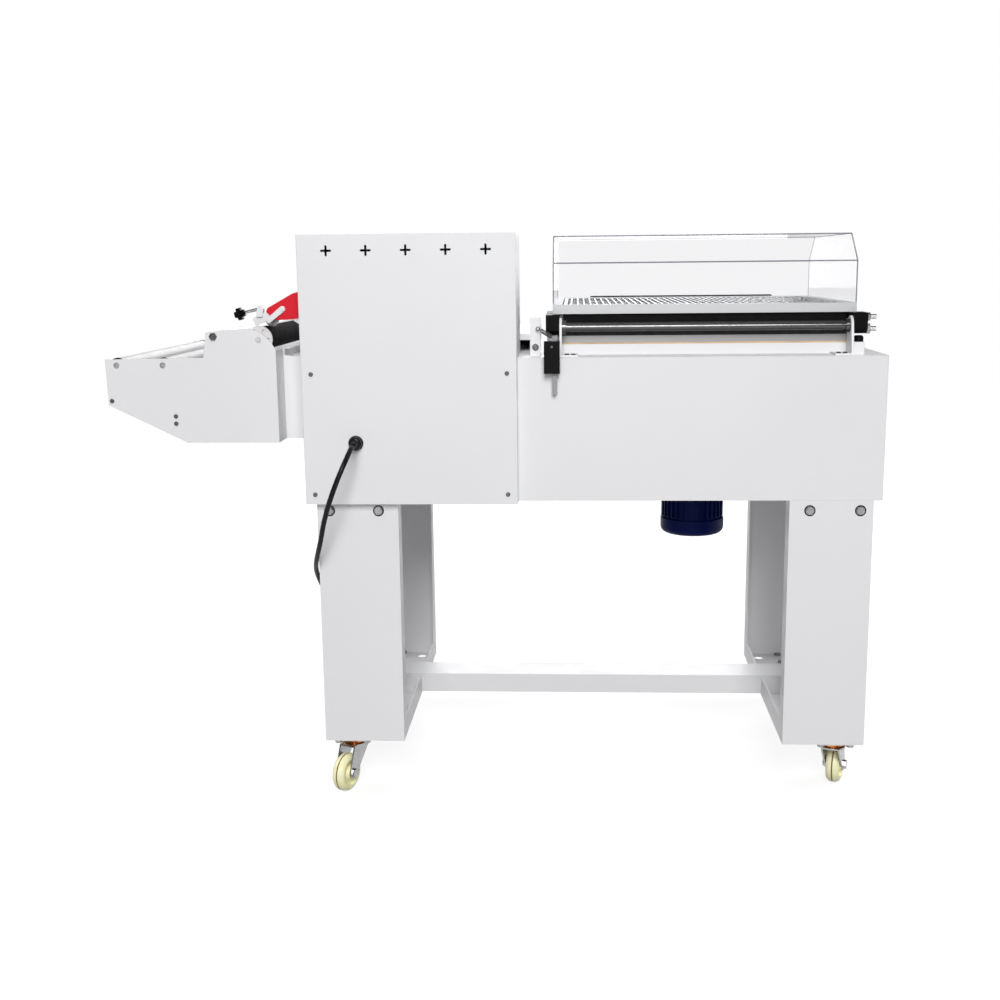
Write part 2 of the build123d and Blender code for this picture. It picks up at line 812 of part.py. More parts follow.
def heater_elements():
    """Four hairpin tube heaters that enter through the rear wall of the chamber."""
    wall = -rim_rear - rim_width
    bend = heater_pitch / 2 - 1
    pins = []
    for x, reach in heater_places():
        path = FilletPolyline((x, wall + tub_sheet + 8, heater_z), (x, wall - reach, heater_z),
                              (x + heater_pitch, wall - reach, heater_z),
                              (x + heater_pitch, wall + tub_sheet + 8, heater_z), radius=bend)
        pins.append(sweep(Plane(path @ 0, z_dir=path % 0) * Circle(heater_radius), path=path))
    return Compound(children=pins)


def fan_guard():
    """Slotted plate over the fan and heaters, on four legs."""
    x0 = rim_x0 + rim_width + guard_margin
    x1 = rim_x1 - rim_width - guard_margin
    y0 = -rim_front + rim_width + guard_margin
    y1 = -rim_rear - rim_width - guard_margin
    plate = box(x0, x1, y0, y1, guard_z, guard_z + guard_sheet)
    cuts = []
    inner = guard_eye_radius
    step = inner / 5
    for k in range(1, 5):
        radius = step * k
        hole = rod_z(motor_x, motor_y, guard_z - 1, guard_z + 9, radius + step * 0.35)
        cuts.append(hole - rod_z(motor_x, motor_y, guard_z - 2, guard_z + 10, radius - step * 0.35))
    spokes = box(motor_x - inner, motor_x + inner, motor_y - 3, motor_y + 3, guard_z, guard_z + guard_sheet)
    spokes += box(motor_x - 3, motor_x + 3, motor_y - inner, motor_y + inner, guard_z, guard_z + guard_sheet)
    for i in range(9):
        y = motor_y + (i - 4) * guard_slot_pitch
        for sx in (x0 + 70, x1 - 70):
            cuts.append(box(sx - 36, sx + 36, y - 4, y + 4, guard_z - 1, guard_z + 9))
    for x, y in grid_rod_places():
        cuts.append(rod_z(x, y, guard_z - 1, guard_z + 9, grid_guide_radius + guard_rod_gap))
    plate = plate.cut(*cuts) + spokes
    for x in (x0 + 8, x1 - 8):
        for y in (y0 + 8, y1 - 8):
            plate += rod_z(x, y, tub_floor, guard_z, 5)
    return plate


def fan_motor():
    """Finned motor hung under the cabinet, with its fan cowl."""
    body = rod_z(motor_x, motor_y, cowl_top - cowl_lap, cabinet_bottom, motor_radius)
    body += rod_z(motor_x, motor_y, cabinet_bottom - motor_flange_height, cabinet_bottom, motor_flange_radius)
    fins = []
    for i in range(motor_fin_count):
        fin = box(motor_radius - 2, motor_fin_radius, -motor_fin_sheet / 2, motor_fin_sheet / 2,
                  cowl_top + 4, cabinet_bottom - motor_flange_height)
        fins.append(Pos(motor_x, motor_y, 0) * Rot(0, 0, 360 * i / motor_fin_count) * fin)
    body = body.fuse(*fins)
    body -= rod_z(motor_x, motor_y, cowl_top, cabinet_bottom + 1, motor_shaft_radius + running_clearance)
    cowl = Pos(motor_x, motor_y, (cowl_bottom + cowl_top) / 2) * Cylinder(cowl_radius, cowl_top - cowl_bottom)
    cowl = fillet(cowl.edges().group_by(Axis.Z)[0], cowl_round)
    inside = rod_z(motor_x, motor_y, cowl_bottom + cowl_wall, cowl_top + 1, cowl_radius - cowl_wall)
    cowl -= fillet(inside.edges().group_by(Axis.Z)[0], cowl_round - cowl_wall)
    ribs = box(-cowl_radius + 1, cowl_radius - 1, -3, 3, cowl_top - cowl_lap, cowl_top)
    ribs += box(-3, 3, -cowl_radius + 1, cowl_radius - 1, cowl_top - cowl_lap, cowl_top)
    ribs = Pos(motor_x, motor_y, 0) * ribs
    ribs -= rod_z(motor_x, motor_y, 0, cowl_top + 1, motor_radius)
    cowl += ribs
    for k in range(3):
        slot = ring(-18 - 12 * k, 18 + 12 * k, -18 - 12 * k, 18 + 12 * k, 4, cowl_bottom - 1, cowl_bottom + 9)
        slot -= box(-80, 80, -3, 3, 0, cowl_top)
        slot -= box(-3, 3, -80, 80, 0, cowl_top)
        cowl -= Pos(motor_x, motor_y, 0) * slot
    return Compound(children=[body, cowl])


def fan_wheel():
    """Blower wheel on the motor's shaft."""
    shaft = rod_z(motor_x, motor_y, cowl_top, fan_bottom + 10, motor_shaft_radius)
    top = fan_bottom + fan_blade_height
    wheel = rod_z(0, 0, fan_bottom, fan_bottom + 2, fan_radius)
    wheel += rod_z(0, 0, fan_bottom, fan_bottom + 26, fan_hub_radius)
    blades = []
    for i in range(fan_blade_count):
        blade = box(fan_eye_radius, fan_radius - 1, -fan_blade_sheet / 2, fan_blade_sheet / 2,
                    fan_bottom + 1, top)
        blade = Rot(0, 0, 360 * i / fan_blade_count) * Pos(fan_radius, 0, 0) * Rot(0, 0, 22) * Pos(-fan_radius, 0, 0) * blade
        blades.append(blade)
    shroud = rod_z(0, 0, top - 2, top, fan_radius) - rod_z(0, 0, top - 5, top + 5, fan_eye_radius + 4)
    wheel = wheel.fuse(*blades) + shroud
    wheel &= rod_z(0, 0, fan_bottom - 1, top + 1, fan_radius)
    return shaft + Pos(motor_x, motor_y, 0) * wheel


# Hood

def hood_outline(inset):
    """Profile of the hood in (y, z), moved in by the wall."""
    rear = -frame_rear - inset
    front = -frame_front + inset
    slope = math.atan2(hood_top - hood_shoulder, hood_chamfer_run)
    drop = inset * math.tan(slope / 2)
    cut = inset * math.tan((math.pi / 2 - slope) / 2)
    low = frame_top if inset == 0 else frame_top - 1
    return [(rear, low), (rear, hood_shoulder - cut), (-frame_rear - hood_chamfer_run - drop, hood_top - inset),
            (-frame_front + hood_chamfer_run + drop, hood_top - inset), (front, hood_shoulder - cut), (front, low)]


def hood_dome():
    """Clear hood, bent and glued from one sheet thickness."""
    outer = prism_x(hood_outline(0), frame_x0, frame_x1)
    inner = prism_x(hood_outline(hood_wall), frame_x0 + hood_wall, frame_x1 - hood_wall)
    return outer - inner


def sealing_frame():
    """Aluminium frame under the hood, with the armatures for the closing magnets."""
    frame = ring(frame_x0, frame_x1, frame_rear, frame_front, frame_bar, frame_bottom, frame_top)
    y0 = -magnet_y - lug_width / 2
    y1 = y0 + lug_width
    for x, side in zip(magnet_columns(), (-1, 1)):
        edge = frame_x0 if side < 0 else frame_x1
        a, b = sorted((edge, edge + side * lug_sheet))
        lug = box(a, b, y0, y1, seal_top, frame_top - lug_sheet)
        a, b = sorted((edge, x + side * lug_width / 2))
        frame += lug + box(a, b, y0, y1, seal_top, seal_top + armature_height)
    return frame


def frame_gasket():
    """Black skirt under the rear and left bars of the frame."""
    low = seal_top + seal_gap
    x0 = bracket_x0 + bracket_sheet + 2
    x1 = bracket_x1 - bracket_sheet - 2
    rear = box(x0, x1, -rim_rear - rim_width, -rim_rear, low, frame_bottom)
    left = box(rim_x0, rim_x0 + rim_width, -rim_front + 40, -rim_rear - rim_width - 10, low, frame_bottom)
    return Compound(children=[rear, left])


def upper_jaw_bars():
    """The two moving jaws of the L, each a bar with its sealing blade."""
    blade_low = seal_top + seal_gap
    body_low = blade_low + frame_bottom - seal_top - seal_gap - jaw_body_height
    front = box(rim_x0 + rim_width, rim_x1, -rim_front, -rim_front + rim_width, body_low, frame_bottom)
    side = box(rim_x1 - rim_width, rim_x1, -rim_front + rim_width, -rim_rear - rim_width - 10,
               body_low, frame_bottom)
    middle_y = -rim_front + rim_width / 2
    middle_x = rim_x1 - rim_width / 2
    front_blade = box(rim_x0 + rim_width, middle_x + jaw_blade, middle_y - jaw_blade, middle_y + jaw_blade,
                      blade_low, body_low)
    side_blade = box(middle_x - jaw_blade, middle_x + jaw_blade, middle_y, -rim_rear - rim_width - 10,
                     blade_low, body_low)
    return front + side + front_blade + side_blade


def hinge_block(x0):
    """Block clamped to the hood frame that turns on the shaft."""
    x1 = x0 + block_width
    top = frame_bottom
    body = prism_x([(-block_rear, shaft_z), (-block_rear, top), (-block_front, top),
                    (-block_front, top - block_arm_height), (-shaft_y - block_radius, top - block_arm_height),
                    (-shaft_y - block_radius, shaft_z)], x0, x1)
    body += rod_x(-shaft_y, shaft_z, x0, x1, block_radius)
    body += prism_x([(-block_rear, shaft_z - 6), (-block_rear, shaft_z + 2), (-shaft_y, shaft_z + 2),
                     (-shaft_y, shaft_z - 6)], x0, x1)
    return body - rod_x(-shaft_y, shaft_z, x0 - 1, x1 + 1, shaft_radius + running_clearance)


def left_block_x():
    return bracket_x0 - block_gap - block_width


def right_block_x():
    return bracket_x1 + block_gap


def hinge_blocks():
    """Both blocks, and the two clamp bolts of the left one with their nuts."""
    x = left_block_x()
    y = -block_rear - clamp_bolt_inset
    bolts = []
    for drop, nut_radius in zip(clamp_bolt_drops, clamp_nut_sizes):
        z = frame_bottom - drop
        nut = hexagon_x(y, z, x - clamp_nut_height, x, nut_radius)
        bolts.append(nut + rod_x(y, z, x - clamp_bolt_length, x, clamp_bolt_radius))
    return Compound(children=[hinge_block(x), hinge_block(right_block_x())] + bolts)


def bracket(x0, foot_side):
    """Upright plate with a rounded crown and a foot, bored for the shaft."""
    x1 = x0 + bracket_sheet
    middle = -(bracket_rear + bracket_front) / 2
    low = cabinet_top
    foot = Pos(middle, low + 6) * Rectangle(bracket_front - bracket_rear, 12)
    crown = Pos(-shaft_y, shaft_z) * Circle(bracket_crown_radius)
    plate = extrude(Plane.YZ.offset(x0) * make_hull(foot.edges() + crown.edges()), bracket_sheet)
    a, b = (x1, x1 + bracket_foot - bracket_sheet) if foot_side > 0 else (x0 - bracket_foot + bracket_sheet, x0)
    plate += box(a, b, -bracket_front, -bracket_rear, low, low + bracket_foot_sheet)
    return plate - rod_x(-shaft_y, shaft_z, x0 - 1, x1 + 1, shaft_radius)


def hinge_brackets():
    """Two shaft brackets, the spring post and the block under the hinge stop."""
    left = bracket(bracket_x0, 1)
    right = bracket(bracket_x1 - bracket_sheet, -1)
    post = box(post_x0, post_x0 + post_width, -post_y - post_sheet, -post_y, cabinet_top, cabinet_top + post_height)
    post += box(post_x0, post_x0 + post_width, -post_y - post_foot, -post_y, cabinet_top,
                cabinet_top + bracket_foot_sheet)
    pin_x = post_x0 + post_pin_inset
    post += rod_y(pin_x, post_pin_z, -post_y, -post_y + post_pin_length, post_pin_radius)
    x = left_block_x() + block_width / 2
    stop = box(x - stop_block_width / 2, x + stop_block_width / 2, -shaft_y - stop_block_depth / 2,
               -shaft_y + stop_block_depth / 2, cabinet_top, cabinet_top + stop_block_height)
    return Compound(children=[left, right, post, stop])


def hinge_shaft():
    """Fixed shaft with a collar inside each bracket."""
    shaft = rod_x(-shaft_y, shaft_z, shaft_x0, shaft_x1, shaft_radius)
    for x in (bracket_x0 + bracket_sheet, bracket_x1 - bracket_sheet - collar_width):
        shaft += rod_x(-shaft_y, shaft_z, x, x + collar_width, collar_radius)
    return shaft


def lever_x():
    return switch_x0 + switch_width / 2 - 5.0


def lever_y():
    return switch_depth / 2


def limit_switch():
    """Switch block hooked over the rear edge, and the rubber dome under the left hinge block."""
    x1 = switch_x0 + switch_width
    body = box(switch_x0, x1, 0, switch_depth, switch_bottom, switch_top)
    body += box(bracket_x1 + 1, x1, -switch_foot, 0, cabinet_top, cabinet_top + switch_foot_height)
    reach = lever_pivot_z - switch_bottom
    half = lever_width / 2 + lever_slot_gap + reach * math.tan(math.radians(lever_swing))
    half_y = lever_sheet / 2 + lever_slot_gap
    x = lever_x()
    y = lever_y()
    body -= box(x - half, x + half, y - half_y, y + half_y, switch_bottom - 1, switch_top + 1)
    body += rod_y(x, lever_pivot_z, 0, switch_depth, lever_pivot_radius)
    dome_x = left_block_x() + block_width / 2
    base = cabinet_top + stop_block_height
    height = shaft_z - block_radius - stop_gap - base
    dome = rod_z(dome_x, -shaft_y, base, base + height, stop_dome_radius)
    dome = fillet(dome.edges().group_by(Axis.Z)[-1], 4.5)
    return Compound(children=[body, dome])


def switch_lever():
    """Flat lever on the switch's pivot, with a round lower end and a pin for its spring."""
    x = lever_x()
    y = lever_y()
    half = lever_width / 2
    strip = box(x - half, x + half, y - lever_sheet / 2, y + lever_sheet / 2, lever_bottom + half, lever_top)
    strip += rod_y(x, lever_bottom + half, y - lever_sheet / 2, y + lever_sheet / 2, half)
    front = y - lever_sheet / 2
    strip += rod_y(x, lever_top - half, front - lever_pin_length, front, post_pin_radius)
    return strip - rod_y(x, lever_pivot_z, y - 9, y + 9, lever_pivot_radius + running_clearance)


def lift_spring():
    """Coil spring hooked on the post's pin and the lever's pin."""
    start = Vector(post_x0 + post_pin_inset, -post_y + post_pin_length - 2, post_pin_z)
    end = Vector(lever_x(), lever_y() - lever_sheet / 2 - lever_pin_length / 2, lever_top - lever_width / 2)
    axis = (end - start).normalized()
    leg = (end - start).length * (1 - spring_coil_share) / 2
    height = (end - start).length - 2 * leg
    path = Helix(pitch=height / spring_turns, height=height, radius=spring_coil_radius)
    coil = sweep(Plane(path @ 0, z_dir=path % 0) * Circle(spring_wire_radius), path=path, is_frenet=True)
    foot = rod_x(0, 0, 0, spring_coil_radius, spring_wire_radius)
    spring = Plane(start + axis * leg, z_dir=axis) * (coil + foot + Pos(0, 0, height) * foot)
    flat = Vector(axis.X, 0, axis.Z).normalized()
    hook = post_pin_radius + spring_wire_radius + spring_hook_gap
    for pin, coil_end, way in ((start, start + axis * leg, 1), (end, end - axis * leg, -1)):
        spring += Pos(pin) * Rot(90, 0, 0) * Torus(hook, spring_wire_radius)
        near = pin + flat * hook * way
        reach = coil_end - near
        spring += Plane(near, z_dir=reach) * rod_z(0, 0, 0, reach.length, spring_wire_radius)
    return spring


def frame_handle():
    """Bar handle along the front of the hood."""
    y = -frame_front - handle_reach
    z = frame_bottom + frame_height / 2
    x0 = frame_x0 + handle_inset
    x1 = frame_x1 - handle_inset
    handle = rod_x(y, z, x0 - handle_overhang, x1 + handle_overhang, handle_radius)
    handle = fillet(handle.edges(), 3)
    for x in (x0, x1):
        handle += box(x - handle_bracket_width / 2, x + handle_bracket_width / 2, y, -frame_front,
                      z - handle_radius / 2, z + handle_radius / 2)
    return handle


# Control box

def control_box_housing():
    """Folded box open at the rear, with a window behind the panel."""
    s = cabinet_sheet
    shell = box(box_x0, cabinet_length, -box_depth, 0, cabinet_top, box_top)
    shell -= box(box_x0 + s, cabinet_length - s, -box_depth + s, 1, cabinet_top - 1, box_top - s)
    rim = panel_margin + 12
    shell -= box(box_x0 + rim, cabinet_length - rim, -box_depth - 1, -box_depth + 9,
                 panel_bottom + 12, panel_top - 12)
    x1 = cabinet_length + tab_reach
    outline = [(cabinet_length, tab_z), (x1 - 14, tab_z), (x1, tab_z + tab_height - 3),
               (x1 - 8, tab_z + tab_height), (cabinet_length, tab_z + tab_height)]
    tab_y = arm_plate_y() + arm_sheet / 2
    tab = prism_y(outline, tab_y - arm_sheet, tab_y)
    return shell + tab - rod_y(cabinet_length + 13, tab_z + tab_height / 2, tab_y - 9, tab_y + 9, 2)


def plus_cut(x, z):
    """A plus-shaped vent with round ends."""
    half = vent_size / 2
    slot = SlotOverall(vent_size, vent_slot)
    shape = slot + Rot(0, 0, 90) * slot
    return extrude(Plane.XZ.offset(-cover_depth - half) * Pos(x, z) * shape, 2 * half)


def control_box_cover():
    """Rear cover, one tall folded pan with five vents."""
    pan = box(box_x0, cabinet_length, 0, cover_depth, cover_bottom, box_top)
    pan = fillet(pan.edges().filter_by(Axis.Z).group_by(Axis.Y)[-1], corner_radius - 1)
    s = cover_sheet
    pan -= box(box_x0 + s, cabinet_length - s, -1, cover_depth - s, cover_bottom + s, box_top - s)
    middle = (box_x0 + cabinet_length) / 2
    for i in range(vent_count):
        pan -= plus_cut(middle + (i - (vent_count - 1) / 2) * vent_pitch, vent_z)
    for x, z in cover_screws():
        pan -= rod_y(x, z, cover_depth - 5, cover_depth + 1, screw_radius)
    return pan - rod_y(gland_x, gland_z, cover_depth - 5, cover_depth + 1, gland_radius - 3)


def cover_screws():
    columns = (box_x0 + cover_screw_inset, cabinet_length - cover_screw_inset)
    return [(x, z) for x in columns for z in cover_screw_z]


def pan_screw_y(x, z, seat, direction, length):
    """A pan-head screw with its head facing along Y."""
    y0, y1 = sorted((seat, seat + direction * screw_head_height))
    head = rod_y(x, z, y0, y1, screw_head_radius)
    edge = head.edges().group_by(Axis.Y)[-1 if direction > 0 else 0]
    head = fillet(edge, screw_head_height * 0.45)
    y0, y1 = sorted((seat, seat - direction * length))
    return head + rod_y(x, z, y0, y1, screw_radius)


def pan_screw_z(x, y, seat):
    head = rod_z(x, y, seat, seat + screw_head_height, screw_head_radius)
    return fillet(head.edges().group_by(Axis.Z)[-1], screw_head_height * 0.45)


def rack_screw_places():
    return [(tie_tip_x, tie_tip_z), (tie_low_x, tie_low_z + 7), (tie_low_x, tie_low_z - 7)]


def case_screws():
    """Screws of the cover, the rack plates and the hinge feet."""
    screws = [pan_screw_y(x, z, cover_depth, 1, cover_depth - 1) for x, z in cover_screws()]
    for x, z in rack_screw_places():
        screws.append(pan_screw_y(x, z, -rack_rear, 1, rack_sheet))
        screws.append(pan_screw_y(x, z, -rack_front, -1, rack_sheet))
    for y, seat, way in ((-rack_rear, -rack_rear, 1), (-rack_front, -rack_front, -1)):
        y0, y1 = sorted((seat, seat + way * 4))
        screws.append(hexagon_y(tie_rod_x, tie_rod_z, y0, y1, 7.5))
    foot_top = cabinet_top + bracket_foot_sheet
    for x in (bracket_x0 + 14, bracket_x0 + 26, bracket_x1 - 14, bracket_x1 - 26):
        screws.append(pan_screw_z(x, -bracket_rear - 10, foot_top))
    screws.append(pan_screw_z(post_x0 + post_width / 2, -post_y - post_foot + 8, foot_top))
    return Compound(children=screws)


def panel_x0():
    return box_x0 + panel_margin


def panel_x1():
    return cabinet_length - panel_margin


def controller_columns():
    middle = (panel_x0() + panel_x1()) / 2
    return (middle - 110, middle - 40)


def controller_z():
    return (panel_bottom + panel_top) / 2 + 30


def button_place():
    return panel_x1() - 70, controller_z()


def switch_place():
    return panel_x1() - 70, controller_z() - 80


def control_panel():
    """Flat front panel, cut out for the controllers, the button and the switch."""
    y1 = -box_depth
    panel = box(panel_x0(), panel_x1(), y1 - panel_sheet, y1, panel_bottom, panel_top)
    panel = fillet(panel.edges().filter_by(Axis.Y), 6)
    inner = controller_size / 2 - 3
    for x in controller_columns():
        panel -= box(x - inner, x + inner, y1 - 9, y1 + 1, controller_z() - inner, controller_z() + inner)
    for x, z in (button_place(), switch_place()):
        panel -= rod_y(x, z, y1 - 9, y1 + 1, button_stem_radius + running_clearance)
    return panel


def control_electrics():
    """Two temperature controllers, and the relays and contactor on their plate."""
    face = -box_depth - panel_sheet
    half = controller_size / 2
    inner = half - 3
    parts = []
    for x in controller_columns():
        z = controller_z()
        body = box(x - half, x + half, face - controller_bezel, face, z - half, z + half)
        body = fillet(body.edges().filter_by(Axis.Y), 3)
        body -= box(x - half + 5, x + half - 5, face - controller_bezel - 1, face - controller_bezel + 1.5,
                    z - 2, z + half - 5)
        body += box(x - inner, x + inner, face, face + controller_depth, z - inner, z + inner)
        parts.append(body)
    back = -cabinet_sheet - 8
    plate = box(box_x0 + 60, cabinet_length - 60, back - electric_plate_sheet, back, cabinet_top,
                cabinet_top + electric_plate_height)
    plate += box(box_x0 + 60, cabinet_length - 60, back - 30, back, cabinet_top, cabinet_top + electric_plate_sheet)
    rail_y = back - electric_plate_sheet
    rail = box(box_x0 + 80, cabinet_length - 80, rail_y - 7, rail_y, cabinet_top + 90, cabinet_top + 125)
    units = []
    for i, (width, height, depth) in enumerate(((45, 80, 28), (24, 76, 24), (24, 76, 24), (70, 90, 26))):
        ux = box_x0 + 110 + i * 62
        unit = box(ux, ux + width, rail_y - 7 - depth, rail_y - 7, cabinet_top + 108 - height / 2,
                   cabinet_top + 108 + height / 2)
        units.append(fillet(unit.edges().filter_by(Axis.Y), 2))
    return Compound(children=parts + [plate, rail] + units)


def emergency_stop():
    """Mushroom button whose stem runs through the panel."""
    x, z = button_place()
    face = -box_depth - panel_sheet
    head_back = face - button_travel - 0.5
    head = rod_y(x, z, head_back - button_head_height, head_back, button_radius)
    head = fillet(head.edges().group_by(Axis.Y)[0], 6)
    stem = rod_y(x, z, head_back, -box_depth + button_stem_length, button_stem_radius)
    return head + stem


def power_switch():
    """Rotary main switch with a raised grip."""
    x, z = switch_place()
    face = -box_depth - panel_sheet - 0.3
    knob = rod_y(x, z, face - 5, face, switch_knob_radius)
    grip = box(x - 4.5, x + 4.5, face - switch_knob_height, face - 4, z - switch_knob_radius + 1,
               z + switch_knob_radius - 1)
    knob += fillet(grip.edges().filter_by(Axis.Y), 3)
    return knob + rod_y(x, z, face, -box_depth + button_stem_length, button_stem_radius)


# Mains lead

def cable_gland():
    y0 = cover_depth
    gland = hexagon_y(gland_x, gland_z, y0, y0 + gland_flange_height, gland_radius + 1.5)
    dome = rod_y(gland_x, gland_z, y0 + gland_flange_height, y0 + gland_length, gland_radius)
    dome = fillet(dome.edges().group_by(Axis.Y)[-1], 5)
    gland += dome
    gland += rod_y(gland_x, gland_z, y0 - cover_sheet, y0, gland_radius - 3)
    return gland + rod_y(gland_x, gland_z, y0 - cover_sheet - 5, y0 - cover_sheet, gland_radius)


coil_x = gland_x + 12.0
coil_y = -145.0
coil_gap = 0.3
coil_bottom = leg_bottom + leg_sheet + coil_gap
coil_top = coil_bottom + 2 * cord_radius * coil_turn_layers
cord_rest = coil_top + cord_radius
cord_route = [
    (gland_x + x, y, z) for x, y, z in [
        (0.0, 36.0, 701.0), (0.0, 62.0, 701.0), (3.0, 86.0, 689.5), (11.0, 103.0, 669.0), (22.0, 109.0, 643.0),
        (33.5, 106.0, 615.0), (44.0, 98.0, 588.0), (54.5, 86.0, 557.0), (63.0, 71.0, 526.0),
        (73.0, 53.0, 499.0), (85.0, 30.0, 475.0), (97.0, 2.0, 455.0), (103.0, -29.0, 433.0),
        (98.0, -57.0, 408.0), (84.0, -71.0, 373.0), (69.0, -74.0, 326.0), (56.0, -72.0, 274.0),
        (43.0, -68.0, 222.0), (28.0, -71.0, 180.0), (12.0, -79.0, 152.0), (-8.0, -93.0, 137.0),
        (-27.0, -112.0, cord_rest), (-38.0, -136.0, cord_rest),
    ]
]


def cord_radii(points):
    """One bend radius for each corner of the route, as large as its two runs allow."""
    radii = []
    for a, b, c in zip(points, points[1:], points[2:]):
        before = Vector(*b) - Vector(*a)
        after = Vector(*c) - Vector(*b)
        half_turn = math.radians(before.get_angle(after)) / 2
        radii.append(0.45 * min(before.length, after.length) / math.tan(half_turn))
    return radii


def power_cord():
    radii = cord_radii(cord_route)
    print("cord radii", [round(r) for r in radii])
    path = FilletPolyline(*cord_route, radius=radii)
    print("cord length", round(path.length, 1))
    start = Vector(*cord_route[1]) - Vector(*cord_route[0])
    section = Plane(cord_route[0], z_dir=start) * Circle(cord_radius)
    return sweep(section, path=path)


def power_cord_coil():
    """Outer shape of the wound lead, four turns in two layers."""
    width = 2 * cord_radius * coil_turn_rows
    section = Pos(coil_mean_radius, (coil_bottom + coil_top) / 2) * RectangleRounded(width, coil_top - coil_bottom,
                                                                                     cord_radius - 0.5)
    return Pos(coil_x, coil_y, 0) * revolve(Plane.XZ * section, Axis.Z)


def power_plug():
    """Moulded plug with two round pins, lying on top of the coil."""
    face_x = coil_x + plug_length / 2
    y = coil_y - coil_mean_radius
    z = coil_top + plug_height / 2
    wide = Plane((face_x, y, z), z_dir=(-1, 0, 0), x_dir=(0, 1, 0))
    narrow = wide.offset(plug_length)
    body = loft([wide * RectangleRounded(plug_width, plug_height, 5),
                 narrow.offset(-4) * RectangleRounded(2.6 * cord_radius, plug_height, 3)])
    pins = [rod_x(y + side * plug_pin_pitch / 2, z, face_x, face_x + plug_pin_length, plug_pin_radius)
            for side in (-1, 1)]
    return body + pins[0] + pins[1]


# Film rack

def rack_outline():
    """Side outline of a rack plate in (x, z), with its stepped top."""
    return [(rack_inner, rack_bottom), (rack_slope_end, rack_bottom), (rack_tip - 2, rack_tip_bottom),
            (rack_tip, rack_tray_top), (rack_bump_x0, rack_tray_top + 2), (rack_bump_x0 - 7, rack_bump_top - 6),
            (rack_inner + 57, rack_bump_top), (rack_inner + 40, rack_bump_top - 2), (rack_inner + 24, rack_bump_top - 10),
            (rack_inner + 10, rack_corner_z + 16), (rack_inner, rack_corner_z)]


def rack_plate(wall, inward):
    """One folded rack plate; inward is the way along Y to the middle of the rack."""
    y0, y1 = sorted((wall, wall + inward * rack_sheet))
    plate = prism_y(rack_outline(), y0, y1)
    end = wall + inward * rack_flange
    y0, y1 = sorted((wall, end))
    plate += box(rack_inner, rack_inner + rack_sheet, y0, y1, rack_bottom, rack_corner_z)
    y0, y1 = sorted((end - inward * rack_sheet, end))
    plate += box(cabinet_length, rack_inner + rack_sheet, y0, y1, rack_bottom, rack_tray_top)
    lip_end = end + inward * 26
    y0, y1 = sorted((end - inward * rack_sheet, lip_end))
    plate += box(cabinet_length, cabinet_length + rack_sheet, y0, y1, rack_bottom, cabinet_top - 2)
    y0, y1 = sorted((wall - inward, wall + inward * 9))
    for x in film_roller_x:
        plate -= rod_y(x, film_roller_z, y0, y1, roller_pin_radius + running_clearance)
    plate -= rod_y(feed_roller_x, feed_roller_z, y0, y1, roller_pin_radius + running_clearance)
    for x, z in rack_screw_places():
        plate -= rod_y(x, z, y0, y1, screw_radius)
    return plate


def rack_tie_bars():
    """Cross bars between the rack plates and the rail beside the feed roller."""
    y0 = -rack_front + rack_sheet
    y1 = -rack_rear - rack_sheet
    half = tie_tip_size / 2
    tip = box(tie_tip_x - half, tie_tip_x + half - 6, y0, y1, tie_tip_z - half, tie_tip_z + half)
    low = box(tie_low_x - tie_low_width / 2, tie_low_x + tie_low_width / 2, y0, y1,
              tie_low_z - tie_low_height / 2, tie_low_z + tie_low_height / 2)
    rod = rod_y(tie_rod_x, tie_rod_z, y0, y1, tie_rod_radius)
    rail_x0 = rack_inner - rail_width
    rail = box(rail_x0, rack_inner, -rack_front + rack_flange, -rack_rear - rack_flange,
               rail_z - rail_height / 2, rail_z + rail_height / 2)
    rail -= box(rail_x0 - 1, rack_inner - 2, -rack_front, -rack_rear, rail_z - rail_height / 2 + 2,
                rail_z + rail_height / 2 - 2)
    slides = [box(cabinet_length + rack_sheet, rack_inner, y, y + 6, rail_z - 32, rail_z - rail_height / 2)
              for y in (-rack_rear - rack_flange - 12, -rack_front + rack_flange + 6)]
    stay = rod_y(stay_x, stay_z, -rack_front + rack_flange, -rack_rear - rack_flange, stay_radius)
    return Compound(children=[tip, low, rod, rail + slides[0] + slides[1], stay])


def film_roller(x):
    """Idle roller with flanged caps and pins that turn in the rack plates."""
    y0 = -rack_front + rack_sheet + roller_end_gap
    y1 = -rack_rear - rack_sheet - roller_end_gap
    tube = rod_y(x, film_roller_z, y0 + cap_length, y1 - cap_length, film_roller_radius)
    caps = rod_y(x, film_roller_z, y0, y0 + cap_length, film_roller_radius + 0.8)
    caps += rod_y(x, film_roller_z, y1 - cap_length, y1, film_roller_radius + 0.8)
    pins = rod_y(x, film_roller_z, -rack_front - 3, y0, roller_pin_radius)
    pins += rod_y(x, film_roller_z, y1, -rack_rear + 3, roller_pin_radius)
    return tube + caps + pins


